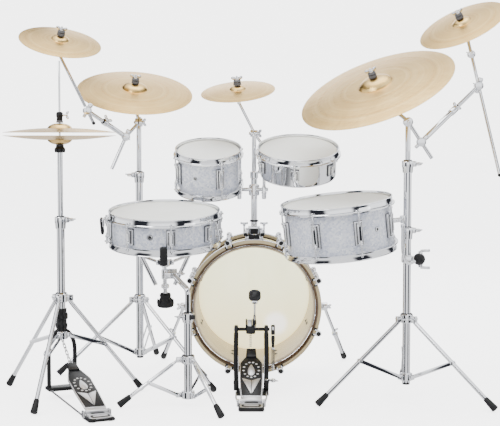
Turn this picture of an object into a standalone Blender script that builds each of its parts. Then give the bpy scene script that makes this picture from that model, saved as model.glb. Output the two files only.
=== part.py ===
"""Acoustic drum kit set up for playing: every drum, stand, cymbal and pedal in its place.

Metres, +Z up. The drummer sits towards -Y and faces +Y. The origin is on the floor, under the
base plate of the bass drum pedal, in the bass drum's middle plane.
"""

import math

import bpy
import bmesh
from mathutils import Matrix, Vector

# Shells: outer radius and depth of each drum, after its nominal head size.
BASS_RADIUS, BASS_DEPTH = 0.203, 0.305
SNARE_RADIUS, SNARE_DEPTH = 0.165, 0.0955
TOM_RADIUS, TOM_DEPTH = 0.1016, 0.132
TIMBALE_RADIUS, TIMBALE_DEPTH = 0.127, 0.089
SIDE_RADIUS, SIDE_DEPTH = 0.165, 0.150
SHELL_WALL = 0.006

# Where each drum's middle stands, and how it leans: pitch towards the drummer, roll right side up.
BASS_CENTRE = Vector((0.0, 0.285, 0.27))
SNARE_CENTRE, SNARE_PITCH = Vector((-0.282, -0.0724, 0.5487)), 7.7
TOM_CENTRE, TOM_PITCH = Vector((-0.152, 0.204, 0.723)), 18.7
TIMBALE_CENTRE, TIMBALE_PITCH = Vector((0.1466, 0.196, 0.747)), 18.7
SIDE_CENTRE, SIDE_PITCH, SIDE_ROLL = Vector((0.262, -0.092, 0.5535)), 5.0, 6.0

# Hoops of pressed steel: an upright band with a flange that carries the tension rods.
HOOP_INSET, HOOP_BAND, HOOP_FLANGE = 0.0058, 0.0022, 0.0155
HOOP_UP, HOOP_DOWN = 0.009, 0.014
ROD_OFFSET, ROD_RADIUS = 0.0155, 0.0030
LUG_DEPTH, LUG_WIDTH = 0.022, 0.024
WOOD_HOOP_INNER, WOOD_HOOP_OUTER, WOOD_HOOP_WIDTH = 0.0085, 0.222, 0.038

# Stand tubes and rubber feet.
LOWER_TUBE, UPPER_TUBE, BORE_PLAY = 0.0125, 0.0085, 0.0007
LEG_RADIUS, FOOT_RADIUS = 0.006, 0.0115
ARM_RADIUS = 0.0055
POST_RADIUS = 0.0105

SNARE_STAND = Vector((-0.2055, -0.15, 0.0))
SNARE_LEG_ANGLES = (190, 300, 70)
SNARE_COLLAR_Z, SNARE_HUB_Z, SNARE_CLAMP_Z = 0.145, 0.035, 0.27
SNARE_PIVOT_R, SNARE_FOOT_R = 0.030, 0.215
HIHAT = Vector((-0.615, -0.02, 0.0))
LEFT_STAND = Vector((-0.406, 0.44, 0.0))
RIGHT_STAND = Vector((0.483, -0.035, 0.0))
POST = Vector((0.0, 0.30, 0.0))

# Bass drum pedal.
PEDAL_X = -0.010
HEEL_HINGE = Vector((PEDAL_X, -0.185, 0.024))
PEDAL_AXLE = Vector((PEDAL_X, 0.066, 0.205))
PEDAL_TOE = Vector((PEDAL_X, 0.030, 0.140))
BEATER_REACH, BEATER_LEAN = 0.183, 47.0

# Cymbals: radius, middle of the edge plane, pitch towards the drummer and roll right side up.
CYMBALS = {
    "splash_cymbal": (0.127, Vector((-0.055, 0.30, 0.985)), 18.0, 5.0),
    "crash_cymbal": (0.203, Vector((-0.4195, 0.44, 0.987)), 23.0, -6.0),
    "small_crash_cymbal": (0.140, Vector((-0.660, 0.300, 1.152)), 23.0, -12.0),
    "ride_cymbal": (0.254, Vector((0.389, 0.0, 0.982)), 22.0, 22.4),
    "right_crash_cymbal": (0.152, Vector((0.700, 0.25, 1.205)), 22.0, 27.0),
}
HIHAT_CYMBAL_RADIUS, HIHAT_PLANE_Z, HIHAT_GAP = 0.178, 0.840, 0.008
CYMBAL_THICKNESS, CYMBAL_HOLE, STEM_RADIUS = 0.0014, 0.0065, 0.0035

GAP = 0.0004
RING_STEPS, BASS_STEPS, CYMBAL_STEPS, TUBE_SIDES = 24, 28, 20, 8

FINISHES = {
    "pearl": ((0.80, 0.81, 0.83), 0.25, 0.0),
    "maple": ((0.62, 0.45, 0.27), 0.40, 0.0),
    "chrome": ((0.80, 0.80, 0.82), 0.12, 1.0),
    "black": ((0.02, 0.02, 0.02), 0.45, 0.0),
    "rubber": ((0.03, 0.03, 0.03), 0.80, 0.0),
    "film": ((0.86, 0.84, 0.76), 0.50, 0.0),
    "bronze": ((0.78, 0.60, 0.30), 0.28, 1.0),
}


def clear_scene():
    for item in list(bpy.data.objects):
        bpy.data.objects.remove(item)


def finish_of(name, kind):
    colour, roughness, metallic = FINISHES[kind]
    finish = bpy.data.materials.new(name)
    finish.use_nodes = True
    shader = finish.node_tree.nodes["Principled BSDF"]
    shader.inputs["Base Color"].default_value = (*colour, 1)
    shader.inputs["Roughness"].default_value = roughness
    shader.inputs["Metallic"].default_value = metallic
    return finish


def linked(name, mesh):
    item = bpy.data.objects.new(name, mesh)
    kit.objects.link(item)
    return item


def evaluated_mesh(item):
    bpy.context.view_layer.update()
    graph = bpy.context.evaluated_depsgraph_get()
    return bpy.data.meshes.new_from_object(item.evaluated_get(graph))


def baked(item, place):
    """The shape that an object's modifiers or curve settings make, as a closed mesh at its place."""
    mesh = evaluated_mesh(item)
    bpy.data.objects.remove(item)
    shape = bmesh.new()
    shape.from_mesh(mesh)
    bmesh.ops.remove_doubles(shape, verts=shape.verts, dist=2e-6)
    bmesh.ops.recalc_face_normals(shape, faces=shape.faces)
    shape.transform(place)
    shape.to_mesh(mesh)
    shape.free()
    return linked("piece", mesh)


def from_shape(shape):
    mesh = bpy.data.meshes.new("piece")
    shape.to_mesh(mesh)
    shape.free()
    return linked("piece", mesh)


def at(x, y, z):
    return Matrix.Translation((x, y, z))


def turn(degrees, axis):
    return Matrix.Rotation(math.radians(degrees), 4, axis)


def leaning(centre, pitch, roll=0.0):
    """A frame that leans towards the drummer by pitch, with its right side raised by roll."""
    return Matrix.Translation(centre) @ turn(-roll, "Y") @ turn(pitch, "X")


def spoke(degrees, radius=0.0, height=0.0):
    """A place on a circle, with its X pointing outwards."""
    return turn(degrees, "Z") @ at(radius, 0, height)


def box(size, place=Matrix()):
    shape = bmesh.new()
    bmesh.ops.create_cube(shape, size=1, matrix=place @ Matrix.Diagonal((*size, 1)))
    return from_shape(shape)


def rod(start, end, radius, end_radius=None, sides=TUBE_SIDES, place=Matrix()):
    start, end = Vector(start), Vector(end)
    along = end - start
    lie = Matrix.Translation((start + end) / 2) @ along.to_track_quat("Z", "Y").to_matrix().to_4x4()
    shape = bmesh.new()
    bmesh.ops.create_cone(
        shape,
        cap_ends=True,
        segments=sides,
        radius1=radius,
        radius2=radius if end_radius is None else end_radius,
        depth=along.length,
        matrix=place @ lie,
    )
    return from_shape(shape)


def ball(centre, radius, place=Matrix()):
    shape = bmesh.new()
    bmesh.ops.create_uvsphere(
        shape, u_segments=8, v_segments=5, radius=radius, matrix=place @ Matrix.Translation(centre)
    )
    return from_shape(shape)


def turned(profile, place=Matrix(), steps=RING_STEPS, closed=True):
    """A profile of (radius, height) points turned about Z. An open one starts and ends on the axis."""
    mesh = bpy.data.meshes.new("profile")
    count = len(profile)
    edges = [(i, (i + 1) % count) for i in range(count if closed else count - 1)]
    mesh.from_pydata([(r, 0, z) for r, z in profile], edges, [])
    item = linked("profile", mesh)
    screw = item.modifiers.new("Turn", "SCREW")
    screw.steps = steps
    screw.render_steps = steps
    screw.use_merge_vertices = True
    screw.merge_threshold = 0.00001
    return baked(item, place)


def ring(inner, outer, low, high, place=Matrix(), steps=RING_STEPS):
    return turned([(outer, high), (outer, low), (inner, low), (inner, high)], place, steps)


def tube(points, radius, place=Matrix()):
    curve = bpy.data.curves.new("tube", "CURVE")
    curve.dimensions = "3D"
    curve.bevel_depth = radius
    curve.bevel_resolution = 1
    curve.use_fill_caps = True
    line = curve.splines.new("POLY")
    line.points.add(len(points) - 1)
    for knot, point in zip(line.points, points):
        knot.co = (*point, 1)
    return baked(linked("tube", curve), place)


def plate(outline, thickness, place=Matrix()):
    """A flat outline in the XY plane, as thick as stated, centred on the plane."""
    curve = bpy.data.curves.new("plate", "CURVE")
    curve.dimensions = "2D"
    curve.fill_mode = "BOTH"
    curve.extrude = thickness / 2
    line = curve.splines.new("POLY")
    line.points.add(len(outline) - 1)
    line.use_cyclic_u = True
    for knot, (x, y) in zip(line.points, outline):
        knot.co = (x, y, 0, 1)
    return baked(linked("plate", curve), place)


def boolean(item, pieces, operation):
    tools = bpy.data.collections.new("tools")
    bpy.context.scene.collection.children.link(tools)
    for piece in pieces:
        kit.objects.unlink(piece)
        tools.objects.link(piece)
    step = item.modifiers.new("Join", "BOOLEAN")
    step.operation = operation
    step.operand_type = "COLLECTION"
    step.collection = tools
    step.solver = "EXACT"
    mesh = evaluated_mesh(item)
    item.modifiers.clear()
    item.data = mesh
    for piece in pieces:
        bpy.data.objects.remove(piece)
    bpy.data.collections.remove(tools)


def node(name, kind, pieces, origin=(0, 0, 0), cuts=()):
    """Pieces joined into one solid, cut, named, and given their finish and their turning point."""
    body = pieces[0]
    if len(pieces) > 1:
        boolean(body, pieces[1:], "UNION")
    if cuts:
        boolean(body, list(cuts), "DIFFERENCE")
    body.name = name
    body.data.name = name
    body.data.transform(Matrix.Translation(-Vector(origin)))
    body.location = origin
    body.data.materials.clear()
    body.data.materials.append(finish_of(name, kind))
    body.data.shade_smooth()
    body.data.set_sharp_from_angle(angle=math.radians(35))
    return body


# Drums


def drum_head(radius, top, place, direction=1, steps=RING_STEPS):
    """A film with its flesh hoop, which hangs over the shell's edge at the height top."""
    film, drop = 0.0012, 0.009
    inner, outer = radius + 0.0012, radius + 0.0048
    profile = [
        (0, top + GAP + film),
        (outer, top + GAP + film),
        (outer, top - drop),
        (inner, top - drop),
        (inner, top + GAP),
        (0, top + GAP),
    ]
    flip = Matrix() if direction > 0 else turn(180, "X")
    return turned(profile, place @ flip, steps, closed=False)


def bottom_film(radius, half, place):
    return rod((0, 0, -half - 0.0010), (0, 0, -half + 0.0010), radius - 0.002, sides=RING_STEPS, place=place)


def steel_hoop(radius, top, lug_angles, rod_end, place, direction=1):
    """A flanged hoop with a tension rod over each lug."""
    inner = radius + HOOP_INSET
    band = inner + HOOP_BAND
    flange = radius + HOOP_FLANGE
    low, high = top - HOOP_DOWN, top + HOOP_UP
    flip = Matrix() if direction > 0 else turn(180, "X")
    place = place @ flip
    pieces = [
        turned(
            [(band, high), (band, low + 0.003), (flange, low + 0.003), (flange, low), (inner, low), (inner, high)],
            place,
        )
    ]
    for angle in lug_angles:
        spot = place @ spoke(angle * direction)
        rod_x = radius + ROD_OFFSET
        pieces.append(rod((rod_x, 0, rod_end), (rod_x, 0, low + 0.009), ROD_RADIUS, sides=6, place=spot))
    return pieces


def box_lugs(radius, height, angles, place):
    return [
        box((LUG_DEPTH, LUG_WIDTH, height), place @ spoke(angle, radius + LUG_DEPTH / 2 - 0.002))
        for angle in angles
    ]


def bass_drum():
    lie = Matrix.Translation(BASS_CENTRE) @ turn(90, "X")
    half = BASS_DEPTH / 2
    lug_angles = [22.5 + 45 * i for i in range(8)]
    rod_radius = 0.0295 + BASS_RADIUS - 0.003
    lug_half = 0.045
    shell = [ring(BASS_RADIUS - 0.008, BASS_RADIUS, -half, half, lie, BASS_STEPS)]
    for angle in lug_angles:
        shell.append(box((0.036, 0.018, 2 * lug_half), lie @ spoke(angle, BASS_RADIUS + 0.016)))
    for side in (-1, 1):
        spot = at(side * (BASS_RADIUS + 0.010), 0.35, 0.24)
        shell.append(box((0.036, 0.050, 0.044), spot))
        shell.append(rod((side * 0.2, 0.35, 0.24), (side * 0.236, 0.35, 0.24), 0.017, sides=12))
    node("bass_shell", "pearl", shell)

    hoop_inner = BASS_RADIUS + WOOD_HOOP_INNER - 0.003
    for name, side in (("bass_batter_hoop", 1), ("bass_front_hoop", -1)):
        outer_plane = half + 0.0145
        flip = lie if side > 0 else lie @ turn(180, "X")
        pieces = [ring(hoop_inner, WOOD_HOOP_OUTER, outer_plane - WOOD_HOOP_WIDTH, outer_plane, flip, BASS_STEPS)]
        for angle in lug_angles:
            spot = flip @ spoke(angle)
            pieces.append(box((0.024, 0.022, 0.020), spot @ at(WOOD_HOOP_OUTER + 0.003, 0, outer_plane - 0.003)))
            pieces.append(
                rod((rod_radius, 0, lug_half + GAP), (rod_radius, 0, outer_plane + 0.012), 0.0035, sides=6, place=spot)
            )
            pieces.append(
                rod((rod_radius, 0, outer_plane + 0.005), (rod_radius, 0, outer_plane + 0.015), 0.007, sides=8, place=spot)
            )
        node(name, "maple", pieces)

    node("bass_batter_head", "film", [drum_head(BASS_RADIUS, half, lie, 1, BASS_STEPS)])
    node("bass_front_head", "film", [drum_head(BASS_RADIUS, half, lie, -1, BASS_STEPS)])


def tom_bracket():
    x, y = POST.x, BASS_CENTRE.y + 0.015
    base_z = BASS_CENTRE.z + BASS_RADIUS
    pieces = [
        box((0.060, 0.052, 0.016), at(x, y, base_z + 0.0085)),
        box((0.046, 0.044, 0.034), at(x, y, base_z + 0.031)),
    ]
    for side in (-1, 1):
        wing_x = x + side * 0.034
        pieces.append(rod((x, y, base_z + 0.03), (wing_x, y, base_z + 0.03), 0.008, sides=10))
        pieces.append(rod((wing_x, y, base_z + 0.022), (wing_x, y, base_z + 0.058), 0.0035, sides=8))
        pieces.append(box((0.026, 0.005, 0.008), at(wing_x, y, base_z + 0.060)))
    hole = rod((x, y, base_z + 0.004), (x, y, base_z + 0.08), POST_RADIUS + BORE_PLAY, sides=12)
    node("tom_bracket", "chrome", pieces, cuts=[hole])


def spur(name, side):
    pivot = Vector((side * 0.2475, 0.35, 0.24))
    foot = Vector((side * 0.337, 0.65, 0.011))
    knee = Vector((side * 0.252, 0.375, 0.221))
    middle = knee.lerp(foot, 0.62)
    pieces = [
        rod((side * 0.2375, 0.35, 0.24), (side * 0.256, 0.35, 0.24), 0.014, sides=12),
        tube([pivot, knee, middle], 0.0055),
        rod(middle - (foot - knee) * 0.14, foot, 0.008),
        ball(foot, 0.011),
    ]
    node(name, "chrome", pieces, origin=pivot)


# Bass drum pedal


def pedal():
    x = PEDAL_X
    axle_y, axle_z = PEDAL_AXLE.y, PEDAL_AXLE.z
    base = [
        box((0.084, 0.075, 0.008), at(x, -0.205, 0.004)),
        box((0.105, 0.095, 0.008), at(x + 0.004, 0.0375, 0.004)),
        box((0.070, 0.030, 0.020), at(x, 0.085, 0.010)),
        box((0.044, 0.014, 0.040), at(x, 0.095, 0.026)),
        box((0.044, 0.053, 0.008), at(x, 0.1145, 0.0420)),
    ]
    for side in (-1, 1):
        post_x = x + side * 0.049
        base.append(
            tube([(x + side * 0.030, -0.19, 0.004), (x + side * 0.049, 0.02, 0.004)], 0.0032)
        )
        base.append(box((0.014, 0.028, 0.030), at(post_x, axle_y, 0.019)))
        base.append(
            rod((post_x, axle_y, 0.02), (post_x, axle_y, axle_z - 0.010), 0.0085, 0.007, place=Matrix())
        )
        base.append(box((0.012, 0.022, 0.026), at(post_x, axle_y, axle_z)))
        base.append(box((0.008, 0.022, 0.022), at(x + side * 0.040, -0.185, 0.019)))
    base.append(rod((x + 0.045, 0.060, 0.06), (x + 0.070, 0.060, 0.06), 0.004, sides=8))
    holes = [rod((x - 0.07, axle_y, axle_z), (x + 0.07, axle_y, axle_z), 0.0050, sides=10)]
    node("pedal_base", "black", base, cuts=holes)

    along = PEDAL_TOE - HEEL_HINGE
    slope = math.degrees(math.atan2(along.z, along.y))
    board = Matrix.Translation(HEEL_HINGE) @ turn(slope, "X")
    reach = along.length
    outline = [
        (-0.033, 0.012), (0.033, 0.012), (0.0365, 0.10), (0.0365, 0.175),
        (0.020, reach - 0.022), (0.017, reach), (-0.017, reach), (-0.020, reach - 0.022),
        (-0.0365, 0.175), (-0.0365, 0.10),
    ]
    node(
        "pedal_footboard",
        "black",
        [
            plate(outline, 0.006, board @ at(0, 0, 0.004)),
            rod((-0.0355, 0, 0), (0.0355, 0, 0), 0.006, place=board),
            box((0.066, 0.016, 0.004), board @ at(0, 0.010, 0.003)),
        ],
        origin=HEEL_HINGE,
    )

    axle = [
        rod((x - 0.052, axle_y, axle_z), (x + 0.074, axle_y, axle_z), 0.0044, sides=10),
        rod((x - 0.016, axle_y, axle_z), (x + 0.012, axle_y, axle_z), 0.014, sides=12),
        box((0.018, 0.022, 0.030), at(x + 0.011, axle_y - 0.005, axle_z + 0.012)),
        box((0.010, 0.014, 0.030), at(x + 0.071, axle_y, axle_z - 0.004)),
    ]
    node("pedal_axle", "black", axle, origin=PEDAL_AXLE)

    lean = Matrix.Translation(PEDAL_AXLE + Vector((0.011, 0, 0))) @ turn(BEATER_LEAN, "X")
    beater = [
        rod((0, 0, 0.034), (0, 0, BEATER_REACH), 0.0032, sides=8, place=lean),
        rod((0, -0.020, BEATER_REACH), (0, 0.022, BEATER_REACH), 0.019, 0.019, sides=12, place=lean),
    ]
    node("beater", "black", beater, origin=PEDAL_AXLE)

    chain_top = axle_z - 0.0150
    chain = tube(
        [(x - 0.002, axle_y - 0.004, chain_top), (x - 0.002, PEDAL_TOE.y + 0.010, PEDAL_TOE.z + 0.012)], 0.0045
    )
    node("pedal_chain", "chrome", [chain])

    spring_x = x + 0.071
    spring = rod((spring_x, axle_y, 0.066), (spring_x, axle_y, axle_z - 0.0200), 0.0065, sides=10)
    node("pedal_spring", "chrome", [spring])


# Snare drum, its basket and its stand


def snare_drum():
    place = leaning(SNARE_CENTRE, SNARE_PITCH)
    half = SNARE_DEPTH / 2
    lug_angles = [-124.5 + 45 * i for i in range(8)]
    lug_height = 0.044
    shell = [ring(SNARE_RADIUS - SHELL_WALL, SNARE_RADIUS, -half, half, place)]
    shell += box_lugs(SNARE_RADIUS, lug_height, lug_angles, place)
    shell.append(box((0.018, 0.030, 0.030), place @ spoke(-12, SNARE_RADIUS + 0.008, -0.004)))
    node("snare_shell", "pearl", shell)
    rod_end = lug_height / 2 + GAP
    node("snare_batter_hoop", "chrome", steel_hoop(SNARE_RADIUS, half, lug_angles, rod_end, place))
    node("snare_bottom_hoop", "chrome", steel_hoop(SNARE_RADIUS, half, lug_angles, rod_end, place, -1))
    node("snare_batter_head", "film", [drum_head(SNARE_RADIUS, half, place)])
    node("snare_bottom_head", "film", [drum_head(SNARE_RADIUS, half, place, -1)])
    wires = box((0.290, 0.042, 0.0018), place @ turn(168, "Z") @ at(0, 0, -half - 0.0036))
    node("snare_wires", "chrome", [wires])

    strainer_place = place @ spoke(168, SNARE_RADIUS)
    strainer = [
        box((0.020, 0.034, 0.054), strainer_place @ at(0.0106, 0, 0)),
        box((0.010, 0.016, 0.014), strainer_place @ at(0.0240, 0, 0.016)),
    ]
    node("snare_strainer", "chrome", strainer)
    lever_pivot = strainer_place @ Vector((0.036, 0, 0.016))
    lever = [
        rod((0.036, -0.012, 0.016), (0.036, 0.012, 0.016), 0.0065, sides=10, place=strainer_place),
        box((0.006, 0.020, 0.044), strainer_place @ at(0.037, 0, -0.006)),
    ]
    node("strainer_lever", "black", lever, origin=lever_pivot)


BASKET_HUB_Z, BASKET_LOWER_HUB_Z, BASKET_TILT_Z = -0.1147, -0.224, -0.150
BASKET_PIVOT_R = 0.024
BASKET_ARM_ANGLES = (273, 33, 153)
TILT_DISC_X = 0.020


def basket():
    place = leaning(SNARE_CENTRE, SNARE_PITCH)
    hub_z, lower_z = BASKET_HUB_Z, BASKET_LOWER_HUB_Z
    tilter = [
        rod((0, 0, hub_z - 0.010), (0, 0, hub_z + 0.010), 0.0165, sides=12, place=place),
        rod((0, 0, hub_z), (0, 0, -0.254), 0.0055, place=place),
        rod((0, 0, -0.150 - 0.014), (0, 0, -0.150 + 0.014), 0.011, place=place),
    ]
    tilt_centre = place @ Vector((0, 0, BASKET_TILT_Z))
    disc_end = tilt_centre + Vector((TILT_DISC_X, 0, 0))
    tilter.append(rod(tilt_centre, disc_end, 0.016, sides=12))
    for angle in BASKET_ARM_ANGLES:
        tilter.append(box((0.016, 0.005, 0.016), place @ spoke(angle, 0.020, hub_z) @ at(0, -0.0075, 0)))
    node("basket_tilter", "chrome", tilter, origin=tilt_centre)

    for number, angle in enumerate(BASKET_ARM_ANGLES, 1):
        out = place @ turn(angle, "Z")
        pivot = Vector((BASKET_PIVOT_R, 0, hub_z))
        elbow = Vector((0.150, 0, -0.088))
        seat = Vector((0.180, 0, -0.0700))
        link_top = Vector((0.086, 0, -0.1040))
        link_low = Vector((0.036, 0, -0.188))
        pieces = [
            rod((0.024, -0.0045, hub_z), (0.024, 0.0045, hub_z), 0.0075, sides=10, place=out),
            tube([pivot, elbow, seat], 0.0048, out),
            box((0.026, 0.012, 0.007), out @ at(0.181, 0, -0.0645)),
            rod((0.1935, 0, -0.076), (0.1935, 0, -0.020), 0.0120, 0.0115, sides=10, place=out),
            tube([link_top, link_low], 0.0034, out),
        ]
        node(f"basket_arm_{number}", "chrome", pieces, origin=out @ pivot)

    knob = [
        turned(
            [(0.012, -0.212), (0.018, -0.215), (0.018, -0.224), (0.017, -0.227), (0.0265, -0.248),
             (0.0250, -0.256), (0.0065, -0.256), (0.0065, -0.212)],
            place,
            16,
        )
    ]
    node("basket_knob", "black", knob, origin=place @ Vector((0, 0, lower_z)))


def snare_stand():
    place = Matrix.Translation(SNARE_STAND)
    collar_z, hub_z, clamp_z = SNARE_COLLAR_Z, SNARE_HUB_Z, SNARE_CLAMP_Z
    bore = UPPER_TUBE + BORE_PLAY
    stand = [
        ring(bore, LOWER_TUBE, 0.022, clamp_z, place, 12),
        ring(bore, 0.0175, clamp_z - 0.006, clamp_z + 0.020, place, 12),
        ring(bore, 0.0205, hub_z - 0.011, hub_z + 0.011, place, 12),
        box((0.020, 0.012, 0.012), place @ turn(60, "Z") @ at(0.024, 0, clamp_z + 0.006)),
        box((0.006, 0.034, 0.010), place @ turn(60, "Z") @ at(0.035, 0, clamp_z + 0.006)),
    ]
    for angle in SNARE_LEG_ANGLES:
        stand.append(box((0.020, 0.0036, 0.014), place @ spoke(angle, 0.028, hub_z) @ at(0, 0.0044, 0)))
    node("snare_stand_tube", "chrome", stand)

    collar = [ring(LOWER_TUBE + BORE_PLAY, 0.0205, collar_z - 0.012, collar_z + 0.012, place, 12)]
    for angle in SNARE_LEG_ANGLES:
        collar.append(box((0.018, 0.0036, 0.016), place @ spoke(angle, 0.0275, collar_z) @ at(0, -0.0060, 0)))
    node("snare_stand_collar", "chrome", collar, origin=SNARE_STAND + Vector((0, 0, collar_z)))

    for number, angle in enumerate(SNARE_LEG_ANGLES, 1):
        out = place @ turn(angle, "Z")
        top = Vector((SNARE_PIVOT_R, 0, collar_z))
        tip = Vector((SNARE_FOOT_R, 0, FOOT_RADIUS * 0.806))
        along = (tip - top).normalized()
        leg = [
            rod((top.x, -0.0038, top.z), (top.x, 0.0038, top.z), 0.0080, sides=10, place=out),
            rod(top, top + along * 0.022, 0.0036, place=out),
            rod(top + along * 0.014, tip - along * 0.02, LEG_RADIUS, place=out),
            rod(tip - along * 0.040, tip, 0.0090, FOOT_RADIUS, place=out),
        ]
        node(f"snare_stand_leg_{number}", "chrome", leg, origin=out @ top)
        joint = top.lerp(tip, 0.5)
        low = Vector((SNARE_PIVOT_R, 0, hub_z))
        side = Vector((0, 0.0084, 0))
        lie = (joint - low).to_track_quat("X", "Y").to_matrix().to_4x4()
        strut = box(
            ((joint - low).length + 0.010, 0.010, 0.0030), out @ Matrix.Translation((joint + low) / 2 + side) @ lie
        )
        node(f"snare_stand_strut_{number}", "chrome", [strut], origin=out @ low)

    tilt_centre = leaning(SNARE_CENTRE, SNARE_PITCH) @ Vector((0, 0, BASKET_TILT_Z))
    disc_x = tilt_centre.x + TILT_DISC_X + GAP
    disc = [
        rod((disc_x, tilt_centre.y, tilt_centre.z), (disc_x + 0.018, tilt_centre.y, tilt_centre.z), 0.016, sides=12),
        rod((disc_x + 0.012, tilt_centre.y, tilt_centre.z), (disc_x + 0.034, tilt_centre.y, tilt_centre.z), 0.004),
        box((0.006, 0.030, 0.008), at(disc_x + 0.034, tilt_centre.y, tilt_centre.z)),
    ]
    base = SNARE_STAND
    arm = tube(
        [
            (base.x, base.y, 0.205),
            (base.x, base.y, 0.352),
            (base.x - 0.004, base.y + 0.006, 0.365),
            (disc_x + 0.012, tilt_centre.y - 0.024, tilt_centre.z - 0.006),
            (disc_x + 0.010, tilt_centre.y - 0.008, tilt_centre.z),
        ],
        UPPER_TUBE,
    )
    node("snare_stand_upper_tube", "chrome", [arm] + disc, origin=base + Vector((0, 0, clamp_z)))


# Toms and their post


TILT_X = {"tom": -0.0505, "timbale": 0.034}
TILT_Y, TILT_Z = 0.289, 0.722


def tom_post():
    x, y = POST.x, POST.y
    pieces = [
        rod((x, y, 0.4795), (x, y, 0.70), POST_RADIUS, sides=12),
        rod((x, y, 0.68), (x, y, 0.842), 0.0075, sides=10),
        rod((x, y, 0.630), (x, y, 0.668), 0.018, sides=12),
        rod((-0.056, y - 0.010, 0.651), (0.048, y - 0.010, 0.651), 0.0065),
        rod((x - 0.012, y, 0.842), (x + 0.012, y, 0.842), 0.012, sides=10),
    ]
    for name, side in (("tom", -1), ("timbale", 1)):
        hang = TILT_X[name]
        pieces.append(box((0.013, 0.024, 0.050), at(hang, y - 0.013, 0.640)))
        pieces.append(rod((hang, TILT_Y, 0.66), (hang, TILT_Y, TILT_Z), 0.0052))
        pieces.append(
            rod((hang - 0.006, TILT_Y, TILT_Z), (hang + 0.006, TILT_Y, TILT_Z), 0.009, sides=10)
        )
    radius, centre, pitch, roll = CYMBALS["splash_cymbal"]
    lean = leaning(centre, pitch, roll)
    stem_foot = lean @ Vector((0, 0, -0.040))
    pieces.append(tube([(x + 0.028, y + 0.012, 0.803), (x, y + 0.012, 0.845), stem_foot], 0.0048))
    pieces += cymbal_stem(lean, radius)
    node("tom_post", "chrome", pieces)


def tom():
    place = leaning(TOM_CENTRE, TOM_PITCH)
    half = TOM_DEPTH / 2
    lug_angles = [-157 + 90 * i for i in range(4)]
    shell = [
        ring(TOM_RADIUS - SHELL_WALL, TOM_RADIUS, -half, half, place),
        bottom_film(TOM_RADIUS, half, place),
        rod((-0.096, TILT_Y, TILT_Z), (TILT_X["tom"] - 0.006 - GAP, TILT_Y, TILT_Z), 0.009, sides=10),
    ]
    node("tom_shell", "pearl", shell)
    hardware = steel_hoop(TOM_RADIUS, half, lug_angles, 0.030, place)
    hardware += steel_hoop(TOM_RADIUS, half, lug_angles, 0.030, place, -1)
    hardware += [
        box((LUG_DEPTH - 0.004, LUG_WIDTH, 0.066), place @ spoke(angle, TOM_RADIUS + GAP + 0.009))
        for angle in lug_angles
    ]
    node("tom_hardware", "chrome", hardware)
    node("tom_batter_head", "film", [drum_head(TOM_RADIUS, half, place)])


def timbale():
    place = leaning(TIMBALE_CENTRE, TIMBALE_PITCH)
    half = TIMBALE_DEPTH / 2
    lug_angles = [-97 + 60 * i for i in range(6)]
    shell = [
        ring(TIMBALE_RADIUS - 0.003, TIMBALE_RADIUS, -half, half, place),
        rod((TILT_X["timbale"] + 0.006 + GAP, TILT_Y, TILT_Z), (0.058, TILT_Y, TILT_Z), 0.009, sides=10),
        box((0.013, 0.018, 0.058), at(0.0545, TILT_Y - 0.004, TILT_Z + 0.020)),
    ]
    shell += box_lugs(TIMBALE_RADIUS, 0.030, lug_angles, place)
    node("timbale_shell", "chrome", shell)
    node("timbale_hoop", "chrome", steel_hoop(TIMBALE_RADIUS, half, lug_angles, 0.015 + GAP, place))
    node("timbale_head", "film", [drum_head(TIMBALE_RADIUS, half, place)])


# Cymbals


def cymbal_profile(radius):
    """Top line of a cymbal from its hole to its edge, with a bell and a shallow bow."""
    bell = radius * 0.22
    bell_height, bow_height = radius * 0.085, radius * 0.075
    line = [(CYMBAL_HOLE, bow_height + bell_height), (bell * 0.62, bow_height + bell_height * 0.80)]
    line.append((bell, bow_height))
    line += [(bell + (radius - bell) * t, bow_height * (1 - t ** 1.6)) for t in (0.55, 1.0)]
    return line


def cymbal(name, radius, place):
    top = cymbal_profile(radius)
    under = [(r, z - CYMBAL_THICKNESS) for r, z in reversed(top)]
    node(name, "bronze", [turned(top + under, place, CYMBAL_STEPS)], origin=place.translation)


def cymbal_stem(lean, radius):
    """The tilter's stem under and through a cymbal, with a felt above and below its bell."""
    bell_top = radius * 0.160
    felt = 0.0022
    return [
        rod((0, 0, -0.045), (0, 0, bell_top + 0.036), STEM_RADIUS, sides=8, place=lean),
        rod((0, 0, -0.045), (0, 0, bell_top * 0.6 - 0.012), 0.006, sides=8, place=lean),
        rod((0, 0, bell_top + felt), (0, 0, bell_top + 0.014), 0.010, sides=10, place=lean),
        box((0.034, 0.006, 0.012), lean @ at(0, 0, bell_top + 0.024)),
    ]


def cymbals():
    for name, (radius, centre, pitch, roll) in CYMBALS.items():
        cymbal(name, radius, leaning(centre, pitch, roll))


# Stands of the cymbals and the hi-hat


def tripod(centre, angles, foot_radius, collar_z, hub_z, inner):
    """Legs on a collar, struts on a hub, and a rubber foot on each leg, about an upright tube."""
    place = Matrix.Translation(centre)
    pieces = [
        ring(inner, 0.021, collar_z - 0.014, collar_z + 0.014, place, 12),
        ring(inner, 0.020, hub_z - 0.012, hub_z + 0.012, place, 12),
    ]
    for angle in angles:
        out = place @ turn(angle, "Z")
        top = Vector((0.018, 0, collar_z))
        slope = math.atan2(foot_radius - top.x, collar_z)
        tip = Vector((foot_radius, 0, FOOT_RADIUS * math.sin(slope)))
        along = (tip - top).normalized()
        middle = top.lerp(tip, 0.5)
        pieces += [
            rod(top, tip - along * 0.02, 0.0068, place=out, sides=8),
            rod(tip - along * 0.045, tip, 0.0085, FOOT_RADIUS, place=out),
            rod((0.012, 0, hub_z), middle, 0.0045, place=out, sides=8),
        ]
    return pieces


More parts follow.
